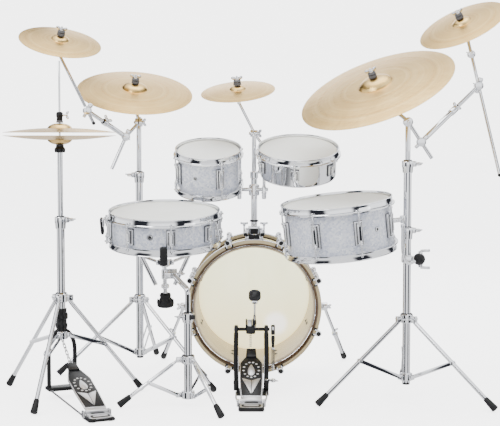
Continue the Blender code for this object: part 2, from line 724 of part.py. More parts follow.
def height_clamp(centre, z, inner, wing_angle):
    place = Matrix.Translation(centre)
    wing = place @ turn(wing_angle, "Z")
    return [
        ring(inner, 0.0185, z - 0.016, z + 0.016, place, 12),
        box((0.022, 0.010, 0.012), wing @ at(0.024, 0, z + 0.004)),
        box((0.006, 0.034, 0.010), wing @ at(0.036, 0, z + 0.004)),
    ]


def multi_clamp(point, turned_by=0.0):
    place = Matrix.Translation(point) @ turn(turned_by, "Y")
    return [
        rod((0, -0.018, 0), (0, 0.018, 0), 0.015, sides=10, place=place),
        box((0.008, 0.008, 0.050), place),
    ]


def left_stand():
    bore = UPPER_TUBE + BORE_PLAY
    top_z = 0.690
    base = [ring(bore, LOWER_TUBE, 0.050, top_z, Matrix.Translation(LEFT_STAND), 12)]
    base += tripod(LEFT_STAND, (203, 323, 83), 0.298, 0.255, 0.066, bore)
    base += height_clamp(LEFT_STAND, top_z, bore, 200)
    node("left_stand_base", "chrome", base)

    x, y, _ = LEFT_STAND
    crash_radius, crash_centre, crash_pitch, crash_roll = CYMBALS["crash_cymbal"]
    crash_lean = leaning(crash_centre, crash_pitch, crash_roll)
    small_radius, small_centre, small_pitch, small_roll = CYMBALS["small_crash_cymbal"]
    small_lean = leaning(small_centre, small_pitch, small_roll)
    grip = Vector((-0.4497, 0.418, 0.8305))
    boom_clamp = Vector((-0.566, 0.279, 0.919))
    upper = [
        rod((x, y, 0.610), (x, y, 0.900), UPPER_TUBE),
        rod((x, y, 0.865), (x, y, 0.897), 0.015, sides=10),
        tube([(x, y, 0.890), crash_lean @ Vector((0, 0, -0.035))], 0.006),
        tube([(-0.497, 0.390, 0.718), grip, (x, y - 0.006, 0.880)], 0.006),
        tube([grip, boom_clamp], 0.0075),
    ]
    upper += multi_clamp(grip, 25)
    upper += multi_clamp(boom_clamp, 30)
    rod_foot = boom_clamp + (boom_clamp - (small_lean @ Vector((0, 0, -0.040)))) * 0.22
    upper.append(tube([rod_foot, boom_clamp, small_lean @ Vector((0, 0, -0.040))], 0.0052))
    upper += cymbal_stem(crash_lean, crash_radius)
    upper += cymbal_stem(small_lean, small_radius)
    node("left_stand_upper", "chrome", upper, origin=(x, y, top_z))


SIDE_EAR = 0.036
RIGHT_CLAMP = Vector((0.521, -0.040, 0.445))


def right_stand():
    bore = UPPER_TUBE + BORE_PLAY
    top_z = 0.740
    x, y, _ = RIGHT_STAND
    base = [ring(bore, LOWER_TUBE, 0.050, top_z, Matrix.Translation(RIGHT_STAND), 12)]
    base += tripod(RIGHT_STAND, (205, 320, 85), 0.320, 0.256, 0.069, bore)
    base += height_clamp(RIGHT_STAND, top_z, bore, 0)
    base += height_clamp(RIGHT_STAND, 0.530, bore, 0)
    base.append(rod((x + 0.010, y, RIGHT_CLAMP.z), RIGHT_CLAMP, 0.010))
    base.append(ball(RIGHT_CLAMP, 0.019))
    side_lean = leaning(SIDE_CENTRE, SIDE_PITCH, SIDE_ROLL)
    ear = side_lean @ Vector((SIDE_RADIUS + SIDE_EAR, 0, 0))
    base.append(
        tube([RIGHT_CLAMP, (x - 0.004, y - 0.038, 0.430), (ear.x, y - 0.055, 0.47), (ear.x, ear.y, ear.z - 0.024)], 0.005)
    )
    base.append(rod((ear.x, ear.y, ear.z - 0.026), (ear.x, ear.y, ear.z - 0.014), 0.0065))
    node("right_stand_base", "chrome", base)

    ride_radius, ride_centre, ride_pitch, ride_roll = CYMBALS["ride_cymbal"]
    ride_lean = leaning(ride_centre, ride_pitch, ride_roll)
    crash_radius, crash_centre, crash_pitch, crash_roll = CYMBALS["right_crash_cymbal"]
    crash_lean = leaning(crash_centre, crash_pitch, crash_roll)
    boom_clamp = Vector((0.530, 0.002, 0.8146))
    far_clamp = Vector((0.745, 0.190, 1.000))
    upper = [
        rod((x, y, 0.640), (x, y, 0.890), UPPER_TUBE),
        rod((x, y, 0.862), (x, y, 0.894), 0.015, sides=10),
        tube([(x, y, 0.885), ride_lean @ Vector((0, 0, -0.035))], 0.006),
        tube([(x, y + 0.014, 0.882), boom_clamp, (0.566, 0.016, 0.763)], 0.006),
        tube([boom_clamp, far_clamp], 0.0075),
    ]
    upper += multi_clamp(boom_clamp, 45)
    upper += multi_clamp(far_clamp, 15)
    rod_foot = far_clamp + (far_clamp - (crash_lean @ Vector((0, 0, -0.040)))) * 1.7
    upper.append(tube([rod_foot, far_clamp, crash_lean @ Vector((0, 0, -0.040))], 0.0052))
    upper += cymbal_stem(ride_lean, ride_radius)
    upper += cymbal_stem(crash_lean, crash_radius)
    node("right_stand_upper", "chrome", upper, origin=(x, y, top_z))


def side_snare():
    place = leaning(SIDE_CENTRE, SIDE_PITCH, SIDE_ROLL)
    half = SIDE_DEPTH / 2
    lug_angles = [-118.5 + 45 * i for i in range(8)]
    shell = [
        bottom_film(SIDE_RADIUS, half, place),
        ring(SIDE_RADIUS - SHELL_WALL, SIDE_RADIUS, -half, half, place),
        box((SIDE_EAR + 0.012, 0.012, 0.014), place @ at(SIDE_RADIUS + SIDE_EAR / 2, 0, 0)),
    ]
    node("side_snare_shell", "pearl", shell)
    hardware = steel_hoop(SIDE_RADIUS, half, lug_angles, 0.030, place)
    hardware += steel_hoop(SIDE_RADIUS, half, lug_angles, 0.030, place, -1)
    hardware += [
        box((LUG_DEPTH - 0.004, LUG_WIDTH, 0.070), place @ spoke(angle, SIDE_RADIUS + GAP + 0.009))
        for angle in lug_angles
    ]
    node("side_snare_hardware", "chrome", hardware)
    node("side_snare_head", "film", [drum_head(SIDE_RADIUS, half, place)])


HIHAT_HEEL = Vector((-0.468, -0.323, 0.022))


def hihat():
    x, y, _ = HIHAT
    place = Matrix.Translation(HIHAT)
    flat = (HIHAT_HEEL - HIHAT) * Vector((1, 1, 0))
    heel_angle = math.degrees(math.atan2(flat.y, flat.x))
    reach = flat.length
    plane = HIHAT_PLANE_Z
    bottom_bell = HIHAT_CYMBAL_RADIUS * 0.160
    seat_z = plane - HIHAT_GAP / 2 - CYMBAL_THICKNESS - bottom_bell - 0.0005
    stand = [
        rod((x, y, 0.030), (x, y, 0.575), LOWER_TUBE, sides=10),
        rod((x, y, 0.560), (x, y, seat_z - 0.004), 0.0085, sides=10),
        rod((x, y, 0.548), (x, y, 0.580), 0.0185, sides=12),
        rod((x, y, seat_z - 0.024), (x, y, seat_z - 0.0010), 0.017, 0.012, sides=12),
        rod((x, y, 0.165), (x, y, 0.25), 0.017, sides=10),
    ]
    stand += tripod(HIHAT, (20, 140, 260), 0.265, 0.320, 0.200, 0.006)
    out = place @ turn(heel_angle, "Z")
    stand += [
        box((0.075, 0.084, 0.008), out @ at(reach + 0.020, 0, 0.004)),
        box((0.050, 0.100, 0.012), out @ at(0, 0, 0.030)),
    ]
    for side in (-1, 1):
        stand.append(tube([(0, side * 0.044, 0.030), (reach, side * 0.030, 0.005)], 0.0032, out))
        stand.append(box((0.022, 0.008, 0.022), out @ at(reach, side * 0.040, 0.018)))
        stand.append(tube([(0, side * 0.042, 0.030), (0, side * 0.034, 0.12), (0, side * 0.010, 0.185)], 0.005, out))
    bore = rod((x, y, 0.585), (x, y, seat_z + 0.02), 0.0045, sides=10)
    node("hihat_stand", "chrome", stand, cuts=[bore])

    board_length, slope = 0.270, 21.0
    board = Matrix.Translation(HIHAT_HEEL) @ turn(heel_angle + 90, "Z") @ turn(slope, "X")
    outline = [
        (-0.033, 0.012), (0.033, 0.012), (0.0365, 0.10), (0.0365, 0.18),
        (0.017, board_length), (-0.017, board_length), (-0.0365, 0.18), (-0.0365, 0.10),
    ]
    node(
        "hihat_footboard",
        "black",
        [
            plate(outline, 0.006, board @ at(0, 0, 0.004)),
            rod((-0.0355, 0, 0), (0.0355, 0, 0), 0.006, place=board),
            box((0.066, 0.016, 0.004), board @ at(0, 0.010, 0.003)),
        ],
        origin=HIHAT_HEEL,
    )

    low = Matrix.Translation((x, y, plane - HIHAT_GAP / 2 - CYMBAL_THICKNESS)) @ turn(180, "X")
    high = Matrix.Translation((x, y, plane + HIHAT_GAP / 2 + CYMBAL_THICKNESS))
    cymbal("hihat_bottom_cymbal", HIHAT_CYMBAL_RADIUS, low)
    cymbal("hihat_top_cymbal", HIHAT_CYMBAL_RADIUS, high)
    bell_z = high.translation.z + bottom_bell
    clutch = [
        rod((x, y, 0.600), (x, y, 1.070), 0.0032, sides=8),
        rod((x, y, bell_z + 0.002), (x, y, bell_z + 0.036), 0.0105, sides=10),
        rod((x, y, bell_z + 0.026), (x + 0.028, y, bell_z + 0.026), 0.003, sides=8),
        box((0.008, 0.005, 0.022), at(x + 0.028, y, bell_z + 0.026)),
    ]
    node("hihat_rod", "chrome", clutch)


clear_scene()
kit = bpy.data.collections.new("drum_kit")
bpy.context.scene.collection.children.link(kit)

bass_drum()
tom_bracket()
spur("spur_left", -1)
spur("spur_right", 1)
pedal()
snare_drum()
basket()
snare_stand()
tom_post()
tom()
timbale()
cymbals()
left_stand()
right_stand()
side_snare()
hihat()
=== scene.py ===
import math

import bmesh
import bpy
from mathutils import Matrix, Vector


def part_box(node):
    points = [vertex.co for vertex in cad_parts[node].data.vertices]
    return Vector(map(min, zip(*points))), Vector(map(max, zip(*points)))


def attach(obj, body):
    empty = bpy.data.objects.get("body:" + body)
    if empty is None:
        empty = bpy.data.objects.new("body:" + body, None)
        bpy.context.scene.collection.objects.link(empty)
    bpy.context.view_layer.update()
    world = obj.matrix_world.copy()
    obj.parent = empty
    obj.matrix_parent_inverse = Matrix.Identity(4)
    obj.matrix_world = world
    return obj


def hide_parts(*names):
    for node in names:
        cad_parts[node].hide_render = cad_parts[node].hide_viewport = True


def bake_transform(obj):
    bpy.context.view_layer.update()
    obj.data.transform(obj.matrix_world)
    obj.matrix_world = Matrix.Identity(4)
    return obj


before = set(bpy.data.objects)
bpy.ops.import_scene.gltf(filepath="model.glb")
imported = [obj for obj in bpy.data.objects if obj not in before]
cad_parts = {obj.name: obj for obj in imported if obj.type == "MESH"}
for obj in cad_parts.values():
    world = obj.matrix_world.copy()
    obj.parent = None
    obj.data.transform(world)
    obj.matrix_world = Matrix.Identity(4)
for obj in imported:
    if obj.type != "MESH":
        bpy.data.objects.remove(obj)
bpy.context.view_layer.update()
fullTurn = 2 * math.pi

# Finishes


class Wire:
    # One socket's output, so that shader maths reads like ordinary maths.
    def __init__(self, finish, socket):
        self.finish = finish
        self.socket = socket

    def maths(self, operation, first, second=0.0):
        return self.finish.node("ShaderNodeMath", {"operation": operation}, {0: first, 1: second})

    def __add__(self, other):
        return self.maths("ADD", self, other)

    def __radd__(self, other):
        return self.maths("ADD", other, self)

    def __sub__(self, other):
        return self.maths("SUBTRACT", self, other)

    def __rsub__(self, other):
        return self.maths("SUBTRACT", other, self)

    def __mul__(self, other):
        return self.maths("MULTIPLY", self, other)

    def __rmul__(self, other):
        return self.maths("MULTIPLY", other, self)

    def __truediv__(self, other):
        return self.maths("DIVIDE", self, other)

    def __pow__(self, other):
        return self.maths("POWER", self, other)


class Nodes:
    def __init__(self, tree):
        self.tree = tree

    def node(self, kind, settings, values, output=0):
        made = self.tree.nodes.new(kind)
        for name, value in settings.items():
            if name == "stops":
                ramp = made.color_ramp.elements
                while len(ramp) < len(value):
                    ramp.new(1.0)
                for stop, (position, colour) in zip(ramp, value):
                    stop.position = position
                    stop.color = (*colour, 1)
            else:
                setattr(made, name, value)
        for socket, value in values.items():
            if isinstance(value, Wire):
                self.tree.links.new(value.socket, made.inputs[socket])
            else:
                made.inputs[socket].default_value = value
        return Wire(self, made.outputs[output])

    def coordinates(self, place=Matrix(), stretch=(1, 1, 1)):
        # Object coordinates seen from a piece's own centre and lean.
        spot = self.node("ShaderNodeTexCoord", {}, {}, "Object")
        turned = self.node(
            "ShaderNodeMapping",
            {"vector_type": "TEXTURE"},
            {"Vector": spot, "Location": place.translation, "Rotation": place.to_euler("XYZ")},
        )
        if stretch == (1, 1, 1):
            return turned
        return self.node("ShaderNodeMapping", {"vector_type": "POINT"}, {"Vector": turned, "Scale": stretch})

    def noise(self, vector, scale, detail=3.0, roughness=0.55):
        values = {"Vector": vector, "Scale": scale, "Detail": detail, "Roughness": roughness}
        return self.node("ShaderNodeTexNoise", {}, values)

    def cells(self, vector, scale, output="Distance", feature="F1"):
        return self.node(
            "ShaderNodeTexVoronoi", {"feature": feature}, {"Vector": vector, "Scale": scale}, output
        )

    def ramp(self, factor, stops):
        return self.node("ShaderNodeValToRGB", {"stops": stops}, {0: factor})

    def mix(self, factor, first, second):
        blend = {6: first if isinstance(first, Wire) else (*first, 1)}
        blend[7] = second if isinstance(second, Wire) else (*second, 1)
        return self.node("ShaderNodeMix", {"data_type": "RGBA"}, {0: factor, **blend}, 2)

    def axes(self, vector):
        return [self.node("ShaderNodeSeparateXYZ", {}, {0: vector}, axis) for axis in range(3)]

    def above(self, value, edge, soft):
        # 0 below the edge, 1 above it, with a soft step between.
        span = {"From Min": edge - soft, "From Max": edge + soft}
        return self.node("ShaderNodeMapRange", {"interpolation_type": "SMOOTHSTEP"}, {"Value": value, **span})


class Finish(Nodes):
    def __init__(self, name, fixed):
        self.material = bpy.data.materials.new(name)
        self.material.use_nodes = True
        super().__init__(self.material.node_tree)
        self.shader = self.tree.nodes["Principled BSDF"]
        for socket, value in fixed.items():
            self.shader.inputs[socket].default_value = value

    def set(self, socket, wire):
        self.tree.links.new(wire.socket, self.shader.inputs[socket])

    def relief(self, height, strength, distance):
        values = {"Height": height, "Strength": strength, "Distance": distance}
        self.set("Normal", self.node("ShaderNodeBump", {}, values))


def pearlWrap(name, seed=0.0):
    # White pearl film: soft flakes of slightly different whites under a clear gloss.
    finish = Finish(name, {"Roughness": 0.22, "Coat Weight": 0.8, "Coat Roughness": 0.04, "IOR": 1.5})
    spot = finish.coordinates(Matrix.Translation((seed, seed, seed)))
    drift = finish.noise(spot, 60.0, 3.0)
    flakes = finish.cells(spot, 190.0, "Color")
    shade = finish.axes(flakes)[0] * 0.55 + drift * 0.45
    colour = finish.ramp(
        shade, [(0.15, (0.50, 0.54, 0.66)), (0.5, (0.72, 0.75, 0.84)), (0.85, (0.96, 0.97, 0.99))]
    )
    finish.set("Base Color", colour)
    finish.set("Roughness", 0.16 + finish.axes(flakes)[1] * 0.16)
    finish.relief(finish.cells(spot, 260.0), 0.10, 0.0004)
    return finish.material


def woodPly(name, place, radius, tones, roughness=0.4):
    # Maple whose grain runs round the shell.
    finish = Finish(name, {"Roughness": roughness, "Coat Weight": 0.15, "Coat Roughness": 0.2})
    x, y, z = finish.axes(finish.coordinates(place))
    angle = x.maths("ARCTAN2", y, x)
    lines = {0: angle * radius * 5.0, 1: z * 95.0, 2: (x * x + y * y) ** 0.5 * 95.0}
    grain = finish.noise(finish.node("ShaderNodeCombineXYZ", {}, lines), 1.0, 5.0, 0.62)
    clouds = finish.noise(finish.coordinates(place), 14.0, 2.0)
    finish.set("Base Color", finish.ramp(grain * 0.75 + clouds * 0.35, tones))
    finish.set("Roughness", roughness - 0.06 + grain * 0.14)
    finish.relief(grain, 0.10, 0.0006)
    return finish.material


def hoopWood(name, place, inner):
    # Clear-lacquered maple hoop with painted shade: a dark line along its inner edge stands in for the shadow in
    # the gap to the head.
    finish = Finish(name, {"Roughness": 0.3, "Coat Weight": 0.5, "Coat Roughness": 0.08})
    x, y, z = finish.axes(finish.coordinates(place))
    radius = (x * x + y * y) ** 0.5
    angle = x.maths("ARCTAN2", y, x)
    lines = {0: angle * 1.4, 1: z * 160.0, 2: radius * 300.0}
    grain = finish.noise(finish.node("ShaderNodeCombineXYZ", {}, lines), 1.0, 4.0, 0.6)
    maple = finish.ramp(
        grain, [(0.25, (0.42, 0.31, 0.13)), (0.5, (0.58, 0.46, 0.24)), (0.75, (0.70, 0.59, 0.36))]
    )
    # painted shade: inside this radius the hoop is coloured dark brown for the shadow between hoop and head
    pale = finish.above(radius, inner + 0.0030, 0.0007)
    finish.set("Base Color", finish.mix(pale, (0.10, 0.060, 0.022), maple))
    finish.set("Roughness", 0.24 + grain * 0.15)
    finish.relief(grain, 0.08, 0.0004)
    return finish.material


def brightMetal(name, colour, roughness, smudge=0.08, scratch=0.0):
    # Plated or polished metal with faint wiping marks.
    finish = Finish(name, {"Metallic": 1.0})
    spot = finish.coordinates()
    haze = finish.noise(spot, 34.0, 4.0, 0.6)
    fine = finish.noise(finish.coordinates(stretch=(1, 1, 0.12)), 700.0, 2.0)
    worn = tuple(0.88 * part for part in colour)
    finish.set("Base Color", finish.mix(haze, worn, colour))
    finish.set("Roughness", roughness + haze * smudge + fine * scratch)
    finish.relief(fine, 0.02 + scratch, 0.0002)
    return finish.material


def darkCoat(name, colour, roughness, grain, depth=0.0003):
    # Powder coat, rubber or moulded plastic: a near-black skin with a fine tooth.
    finish = Finish(name, {"Roughness": roughness, "Specular IOR Level": 0.3})
    spot = finish.coordinates()
    tooth = finish.noise(spot, grain, 3.0)
    dust = finish.noise(spot, 22.0, 3.0)
    lifted = tuple(part * 1.9 + 0.003 for part in colour)
    finish.set("Base Color", finish.mix(dust * 0.7, colour, lifted))
    finish.set("Roughness", roughness - 0.08 + tooth * 0.16)
    finish.relief(tooth, 0.25, depth)
    return finish.material


def coatedHead(name, place, radius):
    # Sprayed white drum head: a sandy coat, thinner and shinier at the collar.
    finish = Finish(name, {"Roughness": 0.6, "IOR": 1.45})
    x, y, z = finish.axes(finish.coordinates(place))
    reach = (x * x + y * y) ** 0.5
    spot = finish.coordinates()
    sand = finish.noise(spot, 900.0, 2.0, 0.7)
    clouds = finish.noise(spot, 16.0, 3.0)
    coat = finish.ramp(clouds * 0.7 + sand * 0.3, [(0.3, (0.90, 0.91, 0.85)), (0.7, (0.97, 0.98, 0.94))])
    collar = finish.above(reach, radius - 0.010, 0.004)
    finish.set("Base Color", finish.mix(collar, coat, (0.93, 0.93, 0.85)))
    finish.set("Roughness", 0.66 - collar * 0.3 + sand * 0.08)
    finish.relief(sand * (1 - collar), 0.18, 0.0003)
    return finish.material


def ivoryHead(name, place, radius):
    # Milky front head with painted light: its colour also glows as emission in place of light through the film;
    # warm ivory, with painted shade towards the bottom and the rim.
    finish = Finish(name, {"Roughness": 0.42, "IOR": 1.5, "Emission Strength": 2.2})
    x, y, z = finish.axes(finish.coordinates(place))
    reach = (x * x + y * y) ** 0.5
    clouds = finish.noise(finish.coordinates(stretch=(1, 1, 0.4)), 11.0, 4.0, 0.6)
    tone = finish.ramp(clouds, [(0.3, (0.84, 0.87, 0.58)), (0.7, (0.92, 0.95, 0.70))])
    # painted shade: warmer and darker towards the bottom
    low = finish.above(y * -1.0, radius * 0.15, radius * 0.75)
    lowShaded = finish.mix(low * 0.75, tone, (0.84, 0.74, 0.42))
    # painted shade towards the rim
    rim = finish.above(reach, radius * 0.93, radius * 0.05)
    shaded = finish.mix(rim * 0.4, lowShaded, (0.70, 0.58, 0.30))
    # painted highlight: a round white spot in colour and glow, lit by no lamp
    paintedHighlight = 1 - finish.above(((x - 0.078) * (x - 0.078) + (y + 0.102) * (y + 0.102)) ** 0.5, 0.038, 0.014)
    paintedLightTone = finish.mix(paintedHighlight * 0.9, shaded, (1.0, 1.0, 1.0))
    finish.set("Base Color", paintedLightTone)
    finish.set("Emission Color", paintedLightTone)
    finish.set("Roughness", 0.36 + clouds * 0.14)
    finish.relief(clouds, 0.03, 0.001)
    return finish.material


def clearFilm(name, place, radius):
    # Clear polyester: nearly invisible, a little hazy at the collar.
    finish = Finish(name, {"Base Color": (0.93, 0.94, 0.93, 1), "Roughness": 0.06, "IOR": 1.55})
    x, y, z = finish.axes(finish.coordinates(place))
    reach = (x * x + y * y) ** 0.5
    haze = finish.noise(finish.coordinates(), 7.0, 2.0)
    collar = finish.above(reach, radius + 0.0005, 0.001)
    finish.set("Alpha", 0.02 + haze * 0.03 + collar * 0.05)
    finish.set("Roughness", 0.05 + haze * 0.05)
    finish.relief(haze, 0.02, 0.001)
    return finish.material


def bronze(name, place, hammered=False):
    # Turned cymbal bronze: lathe grooves round the middle, soft colour bands.
    finish = Finish(name, {"Metallic": 1.0})
    x, y, z = finish.axes(finish.coordinates(place))
    reach = (x * x + y * y) ** 0.5
    bands = {0: reach * 55.0, 1: 0.0, 2: 0.0}
    band = finish.noise(finish.node("ShaderNodeCombineXYZ", {}, bands), 1.0, 5.0, 0.7)
    grooves = (reach * 3000.0).maths("SINE", reach * 3000.0) * 0.5 + 0.5
    patch = finish.noise(finish.coordinates(place), 12.0, 3.0)
    tone = finish.ramp(
        band * 0.7 + patch * 0.3, [
            (0.3, (0.50, 0.30, 0.085)), (0.5, (0.68, 0.45, 0.16)), (0.72, (0.84, 0.62, 0.28))
        ]
    )
    finish.set("Base Color", tone)
    finish.set("Roughness", 0.20 + band * 0.16 + grooves * 0.05)
    height = grooves * 0.35 + band * 0.65
    if hammered:
        dents = finish.cells(finish.coordinates(place), 62.0)
        height = height * 0.25 + dents
    finish.relief(height, 0.35 if hammered else 0.22, 0.0012 if hammered else 0.0005)
    return finish.material


def feltCloth(name, colour):
    finish = Finish(name, {"Roughness": 0.95})
    fibres = finish.noise(finish.coordinates(), 1600.0, 4.0, 0.7)
    mottle = finish.noise(finish.coordinates(), 260.0, 3.0)
    pale = tuple(min(1.0, part * 1.9 + 0.03) for part in colour)
    finish.set("Base Color", finish.mix(fibres * 0.5 + mottle * 0.4, colour, pale))
    finish.relief(fibres, 0.8, 0.0006)
    return finish.material


chrome = brightMetal("polishedChrome", (0.88, 0.89, 0.91), 0.04)
steel = brightMetal("brushedSteel", (0.72, 0.72, 0.73), 0.20, scratch=0.16)
darkSteel = brightMetal("darkSteel", (0.16, 0.16, 0.17), 0.22, scratch=0.10)
powderBlack = darkCoat("powderBlack", (0.004, 0.004, 0.0045), 0.34, 620.0)
softRubber = darkCoat("softRubber", (0.006, 0.006, 0.0065), 0.62, 420.0, 0.0005)
mouldedBlack = darkCoat("mouldedBlack", (0.008, 0.008, 0.009), 0.42, 260.0, 0.0002)
blackFelt = feltCloth("blackFelt", (0.012, 0.012, 0.013))
greyFelt = feltCloth("greyFelt", (0.08, 0.08, 0.085))
print("finishes mixed")

# Shapes: each helper shapes one solid and adds it to a piece


def settle(shape, part, place):
    part.transform(place)
    bmesh.ops.remove_doubles(part, verts=part.verts, dist=1e-6)
    bmesh.ops.recalc_face_normals(part, faces=part.faces)
    carrier = bpy.data.meshes.new("carrier")
    part.to_mesh(carrier)
    part.free()
    shape.from_mesh(carrier)
    bpy.data.meshes.remove(carrier)


def lathe(shape, profile, place=Matrix(), steps=72, closed=True):
    # A profile of (radius, height) turned about Z; an open one starts and ends on the axis.
    part = bmesh.new()
    verts = [part.verts.new((radius, 0, height)) for radius, height in profile]
    partners = verts[1:] + verts[:1] if closed else verts[1:]
    edges = [part.edges.new(pair) for pair in zip(verts, partners)]
    bmesh.ops.spin(
        part, geom=verts + edges, cent=(0, 0, 0), axis=(0, 0, 1),
        angle=fullTurn, steps=steps, use_merge=True,
    )
    settle(shape, part, place)


def hoopRing(shape, inner, outer, low, high, place=Matrix(), soften=0.0006, steps=72):
    s = soften
    profile = [(outer - s, high), (outer, high - s), (outer, low + s), (outer - s, low)]
    profile += [(inner + s, low), (inner, low + s), (inner, high - s), (inner + s, high)]
    lathe(shape, profile, place, steps)


def bar(shape, start, end, radius, endRadius=None, place=Matrix(), sides=24, soften=0.0006):
    start, end = Vector(start), Vector(end)
    along = end - start
    lie = Matrix.Translation((start + end) / 2) @ along.to_track_quat("Z", "Y").to_matrix().to_4x4()
    part = bmesh.new()
    tip = radius if endRadius is None else endRadius
    bmesh.ops.create_cone(
        part, cap_ends=True, segments=sides, radius1=radius, radius2=tip, depth=along.length
    )
    rims = [edge for edge in part.edges if abs(edge.verts[0].co.z - edge.verts[1].co.z) < 1e-6]
    bevelled(part, rims, min(soften, radius * 0.4, tip * 0.4, along.length * 0.3))
    settle(shape, part, place @ lie)


def bevelled(part, edges, width, segments=2):
    bmesh.ops.bevel(
        part, geom=edges, offset=width, offset_type="OFFSET", affect="EDGES",
        segments=segments, profile=0.5, material=-1,
    )


def block(shape, size, place=Matrix(), soften=0.0010, segments=2):
    part = bmesh.new()
    bmesh.ops.create_cube(part, size=1, matrix=Matrix.Diagonal((*size, 1)))
    bevelled(part, part.edges[:], min(soften, min(size) * 0.45), segments)
    settle(shape, part, place)


def orb(shape, centre, size, place=Matrix(), sides=24):
    part = bmesh.new()
    bmesh.ops.create_uvsphere(
        part, u_segments=sides, v_segments=sides // 2, radius=1, matrix=Matrix.Diagonal((*size, 1))
    )
    settle(shape, part, place @ Matrix.Translation(centre))


def slab(shape, outline, thickness, place=Matrix(), soften=0.0006):
    # A flat outline in the XY plane, raised to a thickness, with its rims softened.
    part = bmesh.new()
    face = part.faces.new([part.verts.new((x, y, -thickness / 2)) for x, y in outline])
    raised = bmesh.ops.extrude_face_region(part, geom=[face])
    lifted = [item for item in raised["geom"] if isinstance(item, bmesh.types.BMVert)]
    bmesh.ops.translate(part, verts=lifted, vec=(0, 0, thickness))
    if soften:
        rims = [edge for edge in part.edges if abs(edge.verts[0].co.z - edge.verts[1].co.z) < 1e-7]
        bevelled(part, rims, soften)
    settle(shape, part, place)


def softened(points, fillet, steps=6):
    # The same path with each corner rounded.
    points = [Vector(point) for point in points]
    path = [points[0]]
    for before, corner, after in zip(points, points[1:], points[2:]):
        reach = min(fillet, (before - corner).length * 0.48, (after - corner).length * 0.48)
        first = corner + (before - corner).normalized() * reach
        last = corner + (after - corner).normalized() * reach
        for step in range(steps + 1):
            t = step / steps
            path.append(first * (1 - t) ** 2 + corner * 2 * t * (1 - t) + last * t ** 2)
    return path + [points[-1]]


def run(shape, points, radius, place=Matrix(), fillet=0.02, roundness=4):
    # A bent rod or tube of one thickness.
    curve = bpy.data.curves.new("run", "CURVE")
    curve.dimensions = "3D"
    curve.bevel_depth = radius
    curve.bevel_resolution = roundness
    curve.use_fill_caps = True
    path = softened(points, fillet) if fillet else [Vector(point) for point in points]
    line = curve.splines.new("POLY")
    line.points.add(len(path) - 1)
    for knot, point in zip(line.points, path):
        knot.co = (*point, 1)
    item = bpy.data.objects.new("run", curve)
    bpy.context.scene.collection.objects.link(item)
    graph = bpy.context.evaluated_depsgraph_get()
    mesh = bpy.data.meshes.new_from_object(item.evaluated_get(graph))
    part = bmesh.new()
    part.from_mesh(mesh)
    bpy.data.objects.remove(item)
    bpy.data.curves.remove(curve)
    bpy.data.meshes.remove(mesh)
    settle(shape, part, place)


def piece(name, body, finish, shape, instead=()):
    mesh = bpy.data.meshes.new(name)
    shape.to_mesh(mesh)
    shape.free()
    mesh.materials.append(finish)
    mesh.shade_smooth()
    mesh.set_sharp_from_angle(angle=math.radians(36))
    item = bpy.data.objects.new(name, mesh)
    bpy.context.scene.collection.objects.link(item)
    if body:
        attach(item, body)
    if instead:
        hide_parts(*instead)
    return item


def shift(x, y, z):
    return Matrix.Translation((x, y, z))


def turn(degrees, axis):
    return Matrix.Rotation(math.radians(degrees), 4, axis)


def leaning(centre, pitch, roll=0.0):
    return Matrix.Translation(centre) @ turn(-roll, "Y") @ turn(pitch, "X")


def spoke(degrees, radius=0.0, height=0.0):
    return turn(degrees, "Z") @ shift(radius, 0, height)


def wingNut(shape, place, size=0.013, hub=0.0052):
    # A hub on Z with two rounded wings along X.
    bar(shape, (0, 0, 0), (0, 0, hub * 1.5), hub, hub * 0.8, place, 20)
    for side in (-1, 1):
        lean = place @ shift(side * size * 0.62, 0, hub * 1.25) @ turn(side * -28, "Y")
        orb(shape, (0, 0, 0), (size * 0.55, size * 0.14, size * 0.36), lean, 16)


def teeScrew(shape, place, length=0.026, arm=0.030):
    # A threaded shank on Z with a rounded cross handle along X.
    bar(shape, (0, 0, 0), (0, 0, length), 0.0030, place=place, sides=16)
    bar(shape, (0, 0, length - 0.008), (0, 0, length + 0.004), 0.0048, place=place, sides=20, soften=0.001)
    for side in (-1, 1):
        bar(shape, (0, 0, length), (side * arm / 2, 0, length + 0.002), 0.0036, 0.0042, place, 16, 0.0016)


def nut(shape, place, radius=0.006, height=0.004):
    bar(shape, (0, 0, 0), (0, 0, height), radius, place=place, sides=6, soften=0.0005)


def roundedPanel(width, depth, corner, steps=5):
    outline = []
    corner = min(corner, width / 2 * 0.98, depth / 2 * 0.98)
    for quarter, (sx, sy) in enumerate(((1, 1), (-1, 1), (-1, -1), (1, -1))):
        for step in range(steps + 1):
            angle = math.pi / 2 * (quarter + step / steps)
            x = sx * (width / 2 - corner) + corner * math.cos(angle)
            outline.append((x, sy * (depth / 2 - corner) + corner * math.sin(angle)))
    return outline


def legFoot(rubber, tip, along, out=Matrix(), size=0.0112):
    # A flared rubber boot with ribs.
    start, end = tip - along * 0.042, tip
    bar(rubber, start, end, 0.0085, size, out, 28, 0.0024)
    bar(rubber, start - along * 0.003, start + along * 0.004, 0.0078, 0.0088, out, 28, 0.0012)


def flatLink(shape, first, last, out, side, extra, width, thickness, soften):
    # A flat strip with rounded ends between two pivots; gives its place and the pivots' distance.
    lie = (last - first).to_track_quat("X", "Y").to_matrix().to_4x4()
    strip = out @ Matrix.Translation((first + last) / 2 + Vector((0, side, 0))) @ lie
    length = (last - first).length
    slab(shape, roundedPanel(length + extra, width[0], width[1]), thickness, strip, soften)
    return strip, length


def thread(shape, place, radii, start, pitch, ridge, count, soften, sides):
    # Ridges along a threaded rod.
    for step in range(count):
        height = start + step * pitch
        hoopRing(shape, radii[0], radii[1], height, height + ridge, place, soften, sides)


# Camera, lights and floor

